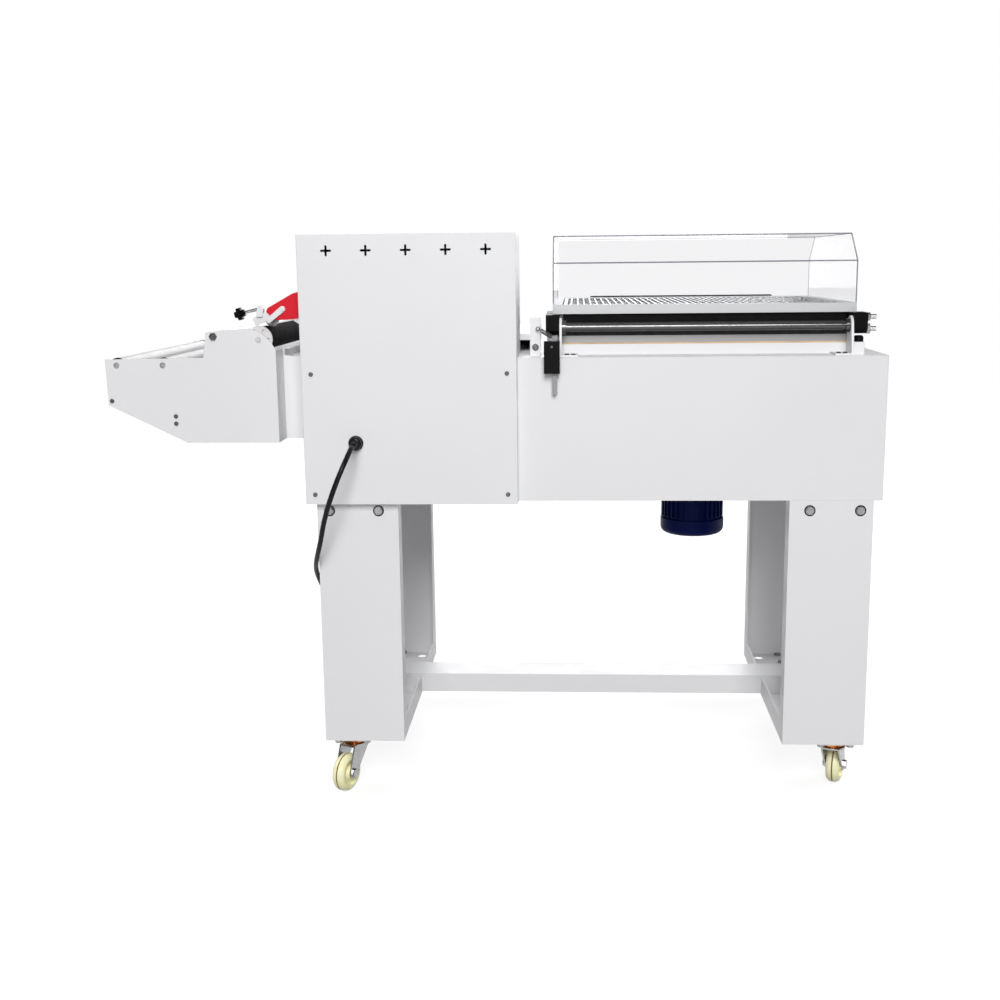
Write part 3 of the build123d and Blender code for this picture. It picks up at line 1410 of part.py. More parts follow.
def feed_roller():
    """Rubber-covered roller with a white disc at each end."""
    y0 = -rack_front + rack_sheet + roller_end_gap + 4
    y1 = -rack_rear - rack_sheet - roller_end_gap - 4
    x, z = feed_roller_x, feed_roller_z
    roller = rod_y(x, z, y0 + feed_disc_width, y1 - feed_disc_width, feed_roller_radius)
    for a, b in ((y0, y0 + feed_disc_width), (y1 - feed_disc_width, y1)):
        roller += rod_y(x, z, a, b, feed_disc_radius)
    for a, b in ((y0 - 1, y0 + feed_recess_depth), (y1 - feed_recess_depth, y1 + 1)):
        roller -= rod_y(x, z, a, b, feed_recess_radius)
        for i in range(feed_disc_holes):
            turn = 2 * math.pi * i / feed_disc_holes
            roller -= rod_y(x + feed_hole_ring * math.cos(turn), z + feed_hole_ring * math.sin(turn), a, b,
                            feed_hole_radius)
    roller += rod_y(x, z, -rack_front - 3, y0 + 9, roller_pin_radius)
    return roller + rod_y(x, z, y1 - 9, -rack_rear + 3, roller_pin_radius)


def guard_plate_outline():
    x = cabinet_length
    low = guard_bottom
    return [(x, low), (x + 18, low), (x + 29, low - 2), (x + 57, low - 3), (x + 69, low + 1),
            (x + 80, low + 14), (x + 77, low + 20), (x + 28, guard_top - 4), (x + 13, guard_top), (x, guard_top)]


def perforator_guard():
    """Two red side plates bridged at the top and fixed to the side of the control box."""
    plates = []
    for y in (-guard_plate_y, -guard_plate_y - guard_plate_space):
        plate = prism_y(guard_plate_outline(), y - guard_plate_sheet, y)
        plates.append(plate - rod_y(perf_pivot_x, perf_pivot_z, y - 9, y + 9, perf_pivot_radius + running_clearance))
    web = box(cabinet_length, cabinet_length + guard_plate_sheet, -guard_plate_y - guard_plate_space, -guard_plate_y,
              guard_bottom, guard_top)
    return plates[0] + plates[1] + web


def pin_wheel_centre():
    """Centre (x, z) of the pin wheel, just clear of the feed roller."""
    reach = feed_roller_radius + pin_wheel_radius + pin_length + pin_wheel_gap
    dx = pin_wheel_x - feed_roller_x
    return pin_wheel_x, feed_roller_z + math.sqrt(reach ** 2 - dx ** 2)


def pin_wheel_y():
    return -guard_plate_y - guard_plate_space / 2 - guard_plate_sheet / 2


def perforator_arm():
    """White arm with two links, the pivot pin and the wheel's axle."""
    wx, wz = pin_wheel_centre()
    links = []
    half = guard_plate_space / 2
    for y in (-guard_plate_y + 0.5, -guard_plate_y - guard_plate_space - guard_plate_sheet - arm_sheet - 0.5):
        foot = Pos(wx, wz) * Circle(5)
        head = Pos(perf_pivot_x, perf_pivot_z) * Circle(5.5)
        face = Plane.XZ.offset(-y - arm_sheet) * make_hull(foot.edges() + head.edges())
        links.append(extrude(face, arm_sheet))
    outer_y = -guard_plate_y + 0.5 + arm_sheet
    inner_y = -guard_plate_y - guard_plate_space - guard_plate_sheet - arm_sheet - 0.5
    pivot = rod_y(perf_pivot_x, perf_pivot_z, inner_y - 2, outer_y + 2, perf_pivot_radius)
    axle = rod_y(wx, wz, inner_y, outer_y, 3)
    blade = Pos(arm_corner_x, 0, arm_corner_z) * Rot(0, arm_tilt, 0)
    plate_y = arm_plate_y()
    plate = blade * box(-arm_length, 0, plate_y - arm_sheet / 2, plate_y + arm_sheet / 2, -arm_height, 0)
    seat = knob_place() * Pos(0, 0, -knob_stud_length + knob_lug_radius)
    lug_x, _, lug_z = seat.position
    eye = Pos(lug_x, lug_z) * Circle(knob_lug_radius)
    root = Pos(lug_x + 2, lug_z - 14) * Rectangle(2 * knob_lug_radius, 4)
    lug = extrude(Plane.XZ.offset(-plate_y) * make_hull(eye.edges() + root.edges()), knob_lug_radius, both=True)
    lug -= knob_place() * rod_z(0, 0, -2 * knob_stud_length, 9, knob_stud_radius + running_clearance)
    return links[0] + links[1] + pivot + axle + plate + lug


def arm_plate_y():
    return -guard_plate_y - guard_plate_sheet - 0.5 - arm_sheet / 2


def pin_wheels():
    """Toothed perforating wheel on the arm's axle."""
    wx, wz = pin_wheel_centre()
    y = pin_wheel_y()
    half = pin_wheel_width / 2
    wheel = Rot(90, 0, 0) * Cylinder(pin_wheel_radius, pin_wheel_width)
    pins = []
    for i in range(pin_count):
        pin = box(pin_wheel_radius - 1, pin_wheel_radius + pin_length, -half + 2, half - 2, -0.8, 0.8)
        pins.append(Rot(0, 360 * i / pin_count, 0) * pin)
    wheel = wheel.fuse(*pins)
    wheel -= rod_y(0, 0, -half - 1, half + 1, 3 + running_clearance)
    return Pos(wx, y, wz) * wheel


def tension_knob():
    """Star knob on a long stud."""
    body = rod_z(0, 0, 0, knob_length * 0.6, knob_radius)
    for i in range(knob_lobes):
        body -= Rot(0, 0, 360 * i / knob_lobes) * rod_z(knob_radius + 2, 0, -1, knob_length, 4)
    body += rod_z(0, 0, knob_length * 0.6, knob_length, knob_radius * 0.5)
    body += rod_z(0, 0, -6, 0, knob_radius * 0.55)
    body += rod_z(0, 0, -knob_stud_length, 0, knob_stud_radius)
    return body


# Loading tray and inverting head

def loading_tray():
    """Raised tray with a rear lip, and the rail of the inverting head screwed to it."""
    s = cabinet_sheet
    x1 = cabinet_length
    tray = box(tray_x0, x1, -cabinet_depth, -tray_rear, cabinet_top, tray_top)
    tray -= box(tray_x0 + s, x1 - s, -cabinet_depth + s, 0, cabinet_top - 1, tray_top - s)
    tray += box(tray_x0, x1, -tray_rear - s, -tray_rear, tray_top - tray_lip, tray_top)
    half = head_rail_width / 2
    rail = box(head_rail_x - half, head_rail_x + half, -cabinet_depth + head_rail_end, -tray_rear - head_rail_end,
               tray_top, tray_top + head_rail_height)
    rail -= box(head_rail_x - half - 1, head_rail_x - half + 4, -cabinet_depth, 0, tray_top + 2,
                tray_top + head_rail_height - 3)
    rail -= box(head_rail_x + half - 4, head_rail_x + half + 1, -cabinet_depth, 0, tray_top + 2,
                tray_top + head_rail_height - 3)
    return Compound(children=[tray, rail])


def head_triangle(z):
    """One film-forming triangle of bent rod."""
    x1 = head_rail_x
    y1 = -head_rear
    corners = [(x1, y1, z), (x1, y1 - head_reach, z), (x1 - head_reach, y1 - head_reach, z)]
    path = FilletPolyline(*corners, radius=head_corner_radius, close=True)
    start = Plane(path @ 0, z_dir=path % 0)
    return sweep(start * Circle(head_rod_radius), path=path)


def inverting_head():
    """Two rod triangles on posts, with shoes that slide along the rail."""
    head = head_triangle(head_lower_z) + head_triangle(head_upper_z)
    gap = 0.3
    half = head_rail_width / 2
    low = tray_top + gap
    for y in (-head_rear - 60, -head_rear - head_reach + 60):
        shoe = box(head_rail_x - half - 7, head_rail_x + half + 7, y - head_shoe_length / 2, y + head_shoe_length / 2,
                   low, tray_top + head_rail_height + 8)
        shoe -= box(head_rail_x - half - gap, head_rail_x + half + gap, y - head_shoe_length, y + head_shoe_length,
                    low - 1, tray_top + head_rail_height + gap)
        head += shoe
        head += rod_z(head_rail_x, y, tray_top + head_rail_height + 1, head_upper_z, head_rod_radius)
    return head


def knob_place():
    """Seat of the knob's stud on the white arm."""
    return Pos(knob_x, arm_plate_y(), knob_z) * Rot(0, 90 + knob_tilt, 0)


def build():
    """Every piece of the machine by name, in the building frame."""
    left, right = leg_starts()
    parts = {
        "leg_frame_left": leg_frame(left, -1),
        "leg_frame_right": leg_frame(right, 1),
        "cross_brace": cross_brace(),
        "frame_bolts": frame_bolts(),
        "caster_top_plates": Compound(children=[caster_top_plate(*p) for p in caster_places().values()]),
        "cabinet_shell": cabinet_shell(),
        "cabinet_floor": cabinet_floor(),
        "deck_plate": deck_plate(),
        "insulating_strips": insulating_strips(),
        "shrink_chamber": shrink_chamber(),
        "chamber_seal": chamber_seal(),
        "lower_jaw_bars": lower_jaw_bars(),
        "heater_elements": heater_elements(),
        "fan_guard": fan_guard(),
        "fan_motor": fan_motor(),
        "fan_wheel": fan_wheel(),
        "product_grid": product_grid(),
        "hood_dome": hood_dome(),
        "sealing_frame": sealing_frame(),
        "frame_gasket": frame_gasket(),
        "upper_jaw_bars": upper_jaw_bars(),
        "hinge_blocks": hinge_blocks(),
        "frame_handle": frame_handle(),
        "hinge_brackets": hinge_brackets(),
        "hinge_shaft": hinge_shaft(),
        "limit_switch": limit_switch(),
        "switch_lever": switch_lever(),
        "lift_spring": lift_spring(),
        "control_box_housing": control_box_housing(),
        "control_box_cover": control_box_cover(),
        "case_screws": case_screws(),
        "control_panel": control_panel(),
        "control_electrics": control_electrics(),
        "emergency_stop": emergency_stop(),
        "power_switch": power_switch(),
        "cable_gland": cable_gland(),
        "power_cord": power_cord(),
        "power_cord_coil": power_cord_coil(),
        "power_plug": power_plug(),
        "rack_rear_plate": rack_plate(-rack_rear, -1),
        "rack_front_plate": rack_plate(-rack_front, 1),
        "rack_tie_bars": rack_tie_bars(),
        "film_roller_outer": film_roller(film_roller_x[0]),
        "film_roller_inner": film_roller(film_roller_x[1]),
        "feed_roller": feed_roller(),
        "perforator_guard": perforator_guard(),
        "perforator_arm": perforator_arm(),
        "pin_wheels": pin_wheels(),
        "tension_knob": knob_place() * tension_knob(),
        "loading_tray": loading_tray(),
        "inverting_head": inverting_head(),
    }
    for name, (x, y) in caster_places().items():
        parts["caster_fork_" + name] = caster_fork(x, y, caster_yaws[name])
        parts["caster_wheel_" + name] = caster_wheel(x, y, caster_yaws[name])
    return parts


def centred(parts):
    """Move every piece, so that the origin is the middle of the base without the lead."""
    loose = ("power_cord", "power_cord_coil", "power_plug", "cable_gland")
    boxes = [shape.bounding_box() for name, shape in parts.items() if name not in loose]
    x = (min(b.min.X for b in boxes) + max(b.max.X for b in boxes)) / 2
    y = (min(b.min.Y for b in boxes) + max(b.max.Y for b in boxes)) / 2
    z = min(b.min.Z for b in boxes)
    print("origin of the row in the building frame", round(x, 4), round(y, 4), round(z, 4))
    return {name: Pos(-x, -y, -z) * shape for name, shape in parts.items()}


def main():
    os.makedirs("parts", exist_ok=True)
    for name, shape in centred(build()).items():
        export_step(shape, "parts/" + name + ".step")


if __name__ == "__main__":
    main()
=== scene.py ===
import math

import bmesh
import bpy
from mathutils import Matrix, Quaternion, Vector


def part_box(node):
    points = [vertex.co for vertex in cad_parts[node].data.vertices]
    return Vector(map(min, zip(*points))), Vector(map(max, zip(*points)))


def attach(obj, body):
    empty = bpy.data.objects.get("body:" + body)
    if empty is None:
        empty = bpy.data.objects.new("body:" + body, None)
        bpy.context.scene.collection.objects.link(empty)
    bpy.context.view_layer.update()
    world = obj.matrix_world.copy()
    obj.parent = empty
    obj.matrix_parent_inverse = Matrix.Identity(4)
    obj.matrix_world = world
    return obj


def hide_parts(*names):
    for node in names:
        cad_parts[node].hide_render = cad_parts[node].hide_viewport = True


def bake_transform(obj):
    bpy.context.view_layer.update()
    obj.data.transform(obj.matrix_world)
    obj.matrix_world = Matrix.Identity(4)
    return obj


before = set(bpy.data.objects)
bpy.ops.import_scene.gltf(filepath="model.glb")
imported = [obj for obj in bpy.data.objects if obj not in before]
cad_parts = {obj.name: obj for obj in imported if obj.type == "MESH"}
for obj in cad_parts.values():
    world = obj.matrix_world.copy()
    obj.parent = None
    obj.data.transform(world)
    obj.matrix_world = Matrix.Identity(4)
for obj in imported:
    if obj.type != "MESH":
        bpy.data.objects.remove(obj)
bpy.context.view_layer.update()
print("frame loaded", len(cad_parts), "nodes")

mm = 0.001
rowOrigin = Vector((732.504, -292.151, -0.008))  # the row's origin in the drawing's millimetres
mergeGap = 1e-6


def at(x, y, z):
    return (Vector((x, y, z)) - rowOrigin) * mm


# Camera at the photograph's place, with its angles in degrees
cameraSpec = {
    "place": (570.5, 2356.9, 1030.8),
    "heading": -2.985,
    "down": 10.703,
    "roll": 0.590,
    "lens": 45.63648,
    "sensor": 36.0,
    "shiftX": -0.012,
    "shiftY": 0.002,
    "reach": 50,
}


def addCamera(spec):
    heading, down = math.radians(spec["heading"]), math.radians(spec["down"])
    level = math.cos(down)
    aim = Vector((-math.sin(heading) * level, -math.cos(heading) * level, -math.sin(down)))
    data = bpy.data.cameras.new("camera")
    data.sensor_width = spec["sensor"]
    data.lens = spec["lens"]
    data.shift_x, data.shift_y = spec["shiftX"], spec["shiftY"]
    data.clip_end = spec["reach"]
    camera = bpy.data.objects.new("camera", data)
    camera.location = at(*spec["place"])
    camera.rotation_mode = "QUATERNION"
    camera.rotation_quaternion = Quaternion(aim, math.radians(spec["roll"])) @ aim.to_track_quat("-Z", "Y")
    bpy.context.scene.collection.objects.link(camera)
    bpy.context.scene.camera = camera


# Soft lamps, all turned to the middle of the machine
lights = {
    "key": {"place": (-0.6, 6.1, 4.1), "size": 2.4, "power": 296},
    "fill": {"place": (0.3, 6.4, 1.9), "size": 2.6, "power": 84},
    "top": {"place": (0.0, 0.4, 3.2), "size": 2.2, "power": 12},
    "front": {"place": (0.0, -3.4, 2.0), "size": 2.4, "power": 72},
    "left": {"place": (-3.6, -0.4, 2.5), "size": 1.8, "power": 58},
    "right": {"place": (3.6, -0.4, 2.5), "size": 1.8, "power": 58},
}
lampTarget = Vector((0, 0, 0.6))


def addLights(specs):
    for name, spec in specs.items():
        data = bpy.data.lights.new(name, "AREA")
        data.size = spec["size"]
        data.energy = spec["power"]
        lamp = bpy.data.objects.new(name, data)
        lamp.location = spec["place"]
        lamp.rotation_euler = (lampTarget - lamp.location).to_track_quat("-Z", "Y").to_euler()
        bpy.context.scene.collection.objects.link(lamp)


def mathOf(tree, operation, *values):
    node = tree.nodes.new("ShaderNodeMath")
    node.operation = operation
    for socket, value in zip(node.inputs, values):
        if isinstance(value, (int, float)):
            socket.default_value = value
        else:
            tree.links.new(value, socket)
    return node.outputs[0]


def rayShare(tree, rays):
    path = tree.nodes.new("ShaderNodeLightPath")
    share = path.outputs[rays[0]]
    for ray in rays[1:]:
        share = mathOf(tree, "MAXIMUM", share, path.outputs[ray])
    return share


def spread(tree, value, low, high, fromLow=0.3, fromHigh=0.7):
    ranged = tree.nodes.new("ShaderNodeMapRange")
    ranged.inputs["From Min"].default_value = fromLow
    ranged.inputs["From Max"].default_value = fromHigh
    ranged.inputs["To Min"].default_value = low
    ranged.inputs["To Max"].default_value = high
    tree.links.new(value, ranged.inputs["Value"])
    return ranged.outputs["Result"]


# White backdrop for the camera and for glass, and a weak even light on the object
worldSpec = {"softLight": 0.07, "seen": 1.0}


def addWorld(spec):
    world = bpy.data.worlds.new("studio")
    world.use_nodes = True
    tree = world.node_tree
    soft = tree.nodes["Background"]
    soft.inputs["Color"].default_value = (1, 1, 1, 1)
    soft.inputs["Strength"].default_value = spec["softLight"]
    seen = tree.nodes.new("ShaderNodeBackground")
    seen.inputs["Color"].default_value = (1, 1, 1, 1)
    seen.inputs["Strength"].default_value = spec["seen"]
    mix = tree.nodes.new("ShaderNodeMixShader")
    tree.links.new(rayShare(tree, ("Is Camera Ray", "Is Transmission Ray")), mix.inputs["Fac"])
    tree.links.new(soft.outputs[0], mix.inputs[1])
    tree.links.new(seen.outputs[0], mix.inputs[2])
    tree.links.new(mix.outputs[0], tree.nodes["World Output"].inputs["Surface"])
    bpy.context.scene.world = world


# Pale floor that glows to white away from the object, between the two distances in metres
floorSpec = {
    "size": 6.0,
    "colour": 0.26,
    "rough": 0.8,
    "shine": 0.1,
    "glowNear": 0.82,
    "glowFar": 1.0,
    "fadeFrom": 0.9,
    "fadeTo": 3.2,
}


def addFloor(spec):
    mesh = bpy.data.meshes.new("floor")
    bm = bmesh.new()
    bmesh.ops.create_grid(bm, x_segments=1, y_segments=1, size=spec["size"])
    bm.to_mesh(mesh)
    bm.free()
    floor = bpy.data.objects.new("floor", mesh)
    bpy.context.scene.collection.objects.link(floor)
    material = bpy.data.materials.new("paleFloor")
    material.use_nodes = True
    tree = material.node_tree
    shader = tree.nodes["Principled BSDF"]
    shader.inputs["Base Color"].default_value = (*[spec["colour"]] * 3, 1)
    shader.inputs["Roughness"].default_value = spec["rough"]
    shader.inputs["Specular IOR Level"].default_value = spec["shine"]
    distance = tree.nodes.new("ShaderNodeVectorMath")
    distance.operation = "LENGTH"
    tree.links.new(tree.nodes.new("ShaderNodeTexCoord").outputs["Object"], distance.inputs[0])
    level = spread(tree, distance.outputs["Value"], spec["glowNear"], spec["glowFar"], spec["fadeFrom"],
                   spec["fadeTo"])
    rays = rayShare(tree, ("Is Camera Ray", "Is Glossy Ray", "Is Transmission Ray"))
    glow = tree.nodes.new("ShaderNodeEmission")
    tree.links.new(mathOf(tree, "MULTIPLY", rays, level), glow.inputs["Strength"])
    both = tree.nodes.new("ShaderNodeAddShader")
    tree.links.new(shader.outputs[0], both.inputs[0])
    tree.links.new(glow.outputs[0], both.inputs[1])
    tree.links.new(both.outputs[0], tree.nodes["Material Output"].inputs["Surface"])
    floor.data.materials.append(material)


bpy.context.scene.view_settings.view_transform = "Standard"
addCamera(cameraSpec)
addLights(lights)
addWorld(worldSpec)
addFloor(floorSpec)
print("stage ready")


# Building blocks of the materials
def startMaterial(name, colour, rough, metallic=0.0):
    material = bpy.data.materials.new(name)
    material.use_nodes = True
    material.diffuse_color = (*colour, 1)
    tree = material.node_tree
    shader = tree.nodes["Principled BSDF"]
    shader.inputs["Base Color"].default_value = (*colour, 1)
    shader.inputs["Roughness"].default_value = rough
    shader.inputs["Metallic"].default_value = metallic
    spot = tree.nodes.new("ShaderNodeTexCoord").outputs["Object"]
    return material, tree, shader, spot


def noiseOf(tree, spot, scale, detail, stretch=(1, 1, 1)):
    mapping = tree.nodes.new("ShaderNodeMapping")
    mapping.inputs["Scale"].default_value = stretch
    tree.links.new(spot, mapping.inputs["Vector"])
    noise = tree.nodes.new("ShaderNodeTexNoise")
    noise.inputs["Scale"].default_value = scale
    noise.inputs["Detail"].default_value = detail
    tree.links.new(mapping.outputs[0], noise.inputs["Vector"])
    return noise.outputs["Fac"]


def cellsOf(tree, spot, scale):
    cells = tree.nodes.new("ShaderNodeTexVoronoi")
    cells.inputs["Scale"].default_value = scale
    tree.links.new(spot, cells.inputs["Vector"])
    return cells.outputs["Distance"]


def shaded(colour, share):
    return tuple(c * share for c in colour)


def blendColours(tree, share, first, second):
    ramp = tree.nodes.new("ShaderNodeValToRGB")
    ramp.color_ramp.elements[0].color = (*first, 1)
    ramp.color_ramp.elements[1].color = (*second, 1)
    tree.links.new(share, ramp.inputs["Fac"])
    return ramp.outputs["Color"]


def mixColours(tree, share, first, second, way="MIX"):
    mix = tree.nodes.new("ShaderNodeMix")
    mix.data_type = "RGBA"
    mix.blend_type = way
    for socket, value in ((mix.inputs["Factor"], share), (mix.inputs[6], first), (mix.inputs[7], second)):
        if isinstance(value, tuple):
            socket.default_value = (*value, 1)
        elif isinstance(value, float):
            socket.default_value = value
        else:
            tree.links.new(value, socket)
    return mix.outputs[2]


def colourFrom(tree, shader, value):
    tree.links.new(value, shader.inputs["Base Color"])


def roughFrom(tree, shader, value):
    tree.links.new(value, shader.inputs["Roughness"])


def bumpFrom(tree, shader, height, strength, depth, edge=0.0):
    bump = tree.nodes.new("ShaderNodeBump")
    bump.inputs["Strength"].default_value = strength
    bump.inputs["Distance"].default_value = depth
    tree.links.new(height, bump.inputs["Height"])
    if edge:
        rounded = tree.nodes.new("ShaderNodeBevel")
        rounded.samples = 4
        rounded.inputs["Radius"].default_value = edge
        tree.links.new(rounded.outputs["Normal"], bump.inputs["Normal"])
    tree.links.new(bump.outputs["Normal"], shader.inputs["Normal"])


def axisOf(tree, spot, axis):
    split = tree.nodes.new("ShaderNodeSeparateXYZ")
    tree.links.new(spot, split.inputs[0])
    return split.outputs[axis]


def within(tree, value, low, high):
    above = mathOf(tree, "GREATER_THAN", value, low)
    below = mathOf(tree, "LESS_THAN", value, high)
    return mathOf(tree, "MULTIPLY", above, below)


# Finishes
def powderCoat(name, colour, rough):
    material, tree, shader, spot = startMaterial(name, colour, rough)
    patches = spread(tree, noiseOf(tree, spot, scale=2.5, detail=4), 0, 1)
    colourFrom(tree, shader, blendColours(tree, patches, shaded(colour, 0.965), colour))
    roughFrom(tree, shader, spread(tree, noiseOf(tree, spot, scale=35, detail=3), rough - 0.06, rough + 0.08))
    bumpFrom(tree, shader, noiseOf(tree, spot, scale=380, detail=1), strength=0.16, depth=0.0004, edge=0.0011)
    return material


def zincPlate(name, colour, rough):
    material, tree, shader, spot = startMaterial(name, colour, rough, 1.0)
    spangle = spread(tree, cellsOf(tree, spot, 190), 0, 0.35, 0, 0.6)
    bloom = mathOf(tree, "ADD", spangle, spread(tree, noiseOf(tree, spot, scale=60, detail=4), 0, 0.65))
    colourFrom(tree, shader, blendColours(tree, bloom, shaded(colour, 0.74), colour))
    worn = noiseOf(tree, spot, scale=140, detail=3)
    roughFrom(tree, shader, spread(tree, worn, rough - 0.08, rough + 0.16))
    bumpFrom(tree, shader, noiseOf(tree, spot, scale=700, detail=2), strength=0.1, depth=0.0002, edge=0.0008)
    return material


def brushedSheet(name, colour, rough, stretch=(2, 60, 60), metal=1.0):
    material, tree, shader, spot = startMaterial(name, colour, rough, metal)
    grain = noiseOf(tree, spot, 60, 5, stretch)
    colourFrom(tree, shader, blendColours(tree, spread(tree, grain, 0, 1), shaded(colour, 0.92), colour))
    roughFrom(tree, shader, spread(tree, grain, rough - 0.07, rough + 0.12))
    bumpFrom(tree, shader, grain, strength=0.08, depth=0.0001, edge=0.0006)
    return material


def polished(name, colour, rough):
    material, tree, shader, spot = startMaterial(name, colour, rough, 1.0)
    haze = noiseOf(tree, spot, scale=45, detail=4)
    colourFrom(tree, shader, blendColours(tree, spread(tree, haze, 0, 1), shaded(colour, 0.86), colour))
    roughFrom(tree, shader, spread(tree, haze, rough * 0.6, rough * 1.7))
    drawn = noiseOf(tree, spot, scale=260, detail=2, stretch=(1, 8, 8))
    bumpFrom(tree, shader, drawn, strength=0.05, depth=0.0001, edge=0.0005)
    return material


def moulded(name, colour, rough, grain=900, depth=0.00015, edge=0.0007, shine=0.08):
    material, tree, shader, spot = startMaterial(name, colour, rough)
    shader.inputs["Specular IOR Level"].default_value = shine
    patches = spread(tree, noiseOf(tree, spot, scale=14, detail=3), 0, 1)
    light = tuple(min(1, c * 1.2 + 0.002) for c in colour)
    colourFrom(tree, shader, blendColours(tree, patches, colour, light))
    roughFrom(tree, shader, spread(tree, noiseOf(tree, spot, scale=70, detail=3), rough - 0.07, rough + 0.1))
    bumpFrom(tree, shader, noiseOf(tree, spot, grain, detail=2), 0.3, depth, edge)
    return material


def enamel(name, colour, rough, coat=0.5, shine=0.2):
    material, tree, shader, spot = startMaterial(name, colour, rough)
    shader.inputs["Specular IOR Level"].default_value = shine
    shader.inputs["Coat Weight"].default_value = coat
    shader.inputs["Coat Roughness"].default_value = 0.08
    patches = spread(tree, noiseOf(tree, spot, scale=6, detail=3), 0, 1)
    colourFrom(tree, shader, blendColours(tree, patches, shaded(colour, 0.8), colour))
    roughFrom(tree, shader, spread(tree, noiseOf(tree, spot, scale=50, detail=3), rough - 0.05, rough + 0.1))
    bumpFrom(tree, shader, noiseOf(tree, spot, scale=240, detail=1), strength=0.12, depth=0.0004, edge=0.0008)
    return material


def spongeRubber(name, colour):
    material, tree, shader, spot = startMaterial(name, colour, 0.85)
    cells = cellsOf(tree, spot, 700)
    colourFrom(tree, shader, blendColours(tree, cells, shaded(colour, 0.5), colour))
    roughFrom(tree, shader, spread(tree, noiseOf(tree, spot, scale=90, detail=2), 0.75, 0.95))
    bumpFrom(tree, shader, cells, strength=0.5, depth=0.0004)
    return material


def clearSheet(name, tint, shine):
    material, tree, shader, spot = startMaterial(name, (0.9, 0.9, 0.92), 0.04)
    roughFrom(tree, shader, spread(tree, noiseOf(tree, spot, scale=30, detail=4), 0.02, 0.07))
    bumpFrom(tree, shader, noiseOf(tree, spot, scale=3, detail=1), strength=0.04, depth=0.002)
    through = tree.nodes.new("ShaderNodeBsdfTransparent")
    through.inputs["Color"].default_value = (*tint, 1)
    facing = tree.nodes.new("ShaderNodeLayerWeight")
    facing.inputs["Blend"].default_value = 0.12
    mix = tree.nodes.new("ShaderNodeMixShader")
    tree.links.new(mathOf(tree, "MULTIPLY_ADD", facing.outputs["Fresnel"], 0.14, shine), mix.inputs["Fac"])
    tree.links.new(through.outputs[0], mix.inputs[1])
    tree.links.new(shader.outputs[0], mix.inputs[2])
    tree.links.new(mix.outputs[0], tree.nodes["Material Output"].inputs["Surface"])
    return material


def clothStrip(name, colour):
    material, tree, shader, spot = startMaterial(name, colour, 0.7)
    wave = tree.nodes.new("ShaderNodeTexWave")
    wave.inputs["Scale"].default_value = 260
    wave.inputs["Distortion"].default_value = 2.0
    tree.links.new(spot, wave.inputs["Vector"])
    weave = wave.outputs["Fac"]
    patches = spread(tree, noiseOf(tree, spot, scale=16, detail=4), 0, 1)
    colourFrom(tree, shader, blendColours(tree, patches, shaded(colour, 0.72), colour))
    roughFrom(tree, shader, spread(tree, weave, 0.6, 0.8, 0, 1))
    bumpFrom(tree, shader, weave, strength=0.25, depth=0.0003)
    return material


def dress(node, material):
    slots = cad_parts[node].material_slots
    if slots:
        for slot in slots:
            slot.material = material
    else:
        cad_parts[node].data.materials.append(material)


whitePaint = powderCoat("whitePaint", (0.82, 0.82, 0.835), 0.4)
zincSteel = zincPlate("zincSteel", (0.36, 0.355, 0.36), 0.25)
forkZinc = zincPlate("forkZinc", (0.46, 0.455, 0.46), 0.26)
screwSteel = zincPlate("screwSteel", (0.13, 0.13, 0.133), 0.25)
stainless = brushedSheet("stainless", (0.35, 0.345, 0.34), 0.42, metal=0.55)
barAluminium = brushedSheet("barAluminium", (0.58, 0.59, 0.60), 0.5, (1, 40, 40), 0.3)
leverSteel = brushedSheet("leverSteel", (0.30, 0.30, 0.31), 0.5, (30, 30, 2), 0.3)
heaterSheath = brushedSheet("heaterSheath", (0.32, 0.29, 0.27), 0.45, (12, 12, 12))
gridSteel = polished("gridSteel", (0.26, 0.265, 0.275), 0.25)
springSteel = polished("springSteel", (0.16, 0.16, 0.17), 0.3)
blackRubber = moulded("blackRubber", (0.003, 0.003, 0.0035), 0.6, 500, 0.0003)
blackBlock = moulded("blackBlock", (0.003, 0.003, 0.0035), 0.42)
blackPlastic = moulded("blackPlastic", (0.005, 0.005, 0.006), 0.4)
glossBlack = moulded("glossBlack", (0.003, 0.003, 0.0035), 0.24, depth=0.00005, shine=0.2)
leadSheath = moulded("leadSheath", (0.003, 0.003, 0.0035), 0.26, 420, 0.00006, edge=0, shine=0.16)
stopYellow = moulded("stopYellow", (0.85, 0.62, 0.03), 0.4)
buttonGrey = moulded("buttonGrey", (0.45, 0.46, 0.48), 0.45)
sealSponge = spongeRubber("sealSponge", (0.03, 0.03, 0.03))
motorBlue = enamel("motorBlue", (0.0006, 0.006, 0.075), 0.35, 0, 0.07)
perforatorRed = enamel("perforatorRed", (0.70, 0.026, 0.04), 0.5, 0, 0.02)
buttonRed = enamel("buttonRed", (0.62, 0.008, 0.008), 0.25)
displayGlass = enamel("displayGlass", (0.03, 0.004, 0.004), 0.15, 0.8)
hoodClear = clearSheet("hoodClear", (0.976, 0.976, 0.979), 0.012)
# Tint of the hood's edge lines, which paint the light refracted in the sheet's thick edges.
hoodRefractionTint = clearSheet("hoodRefractionTint", (0.44, 0.42, 0.48), 0.2)
heatStrip = clothStrip("heatStrip", (0.74, 0.53, 0.32))
print("finishes ready")

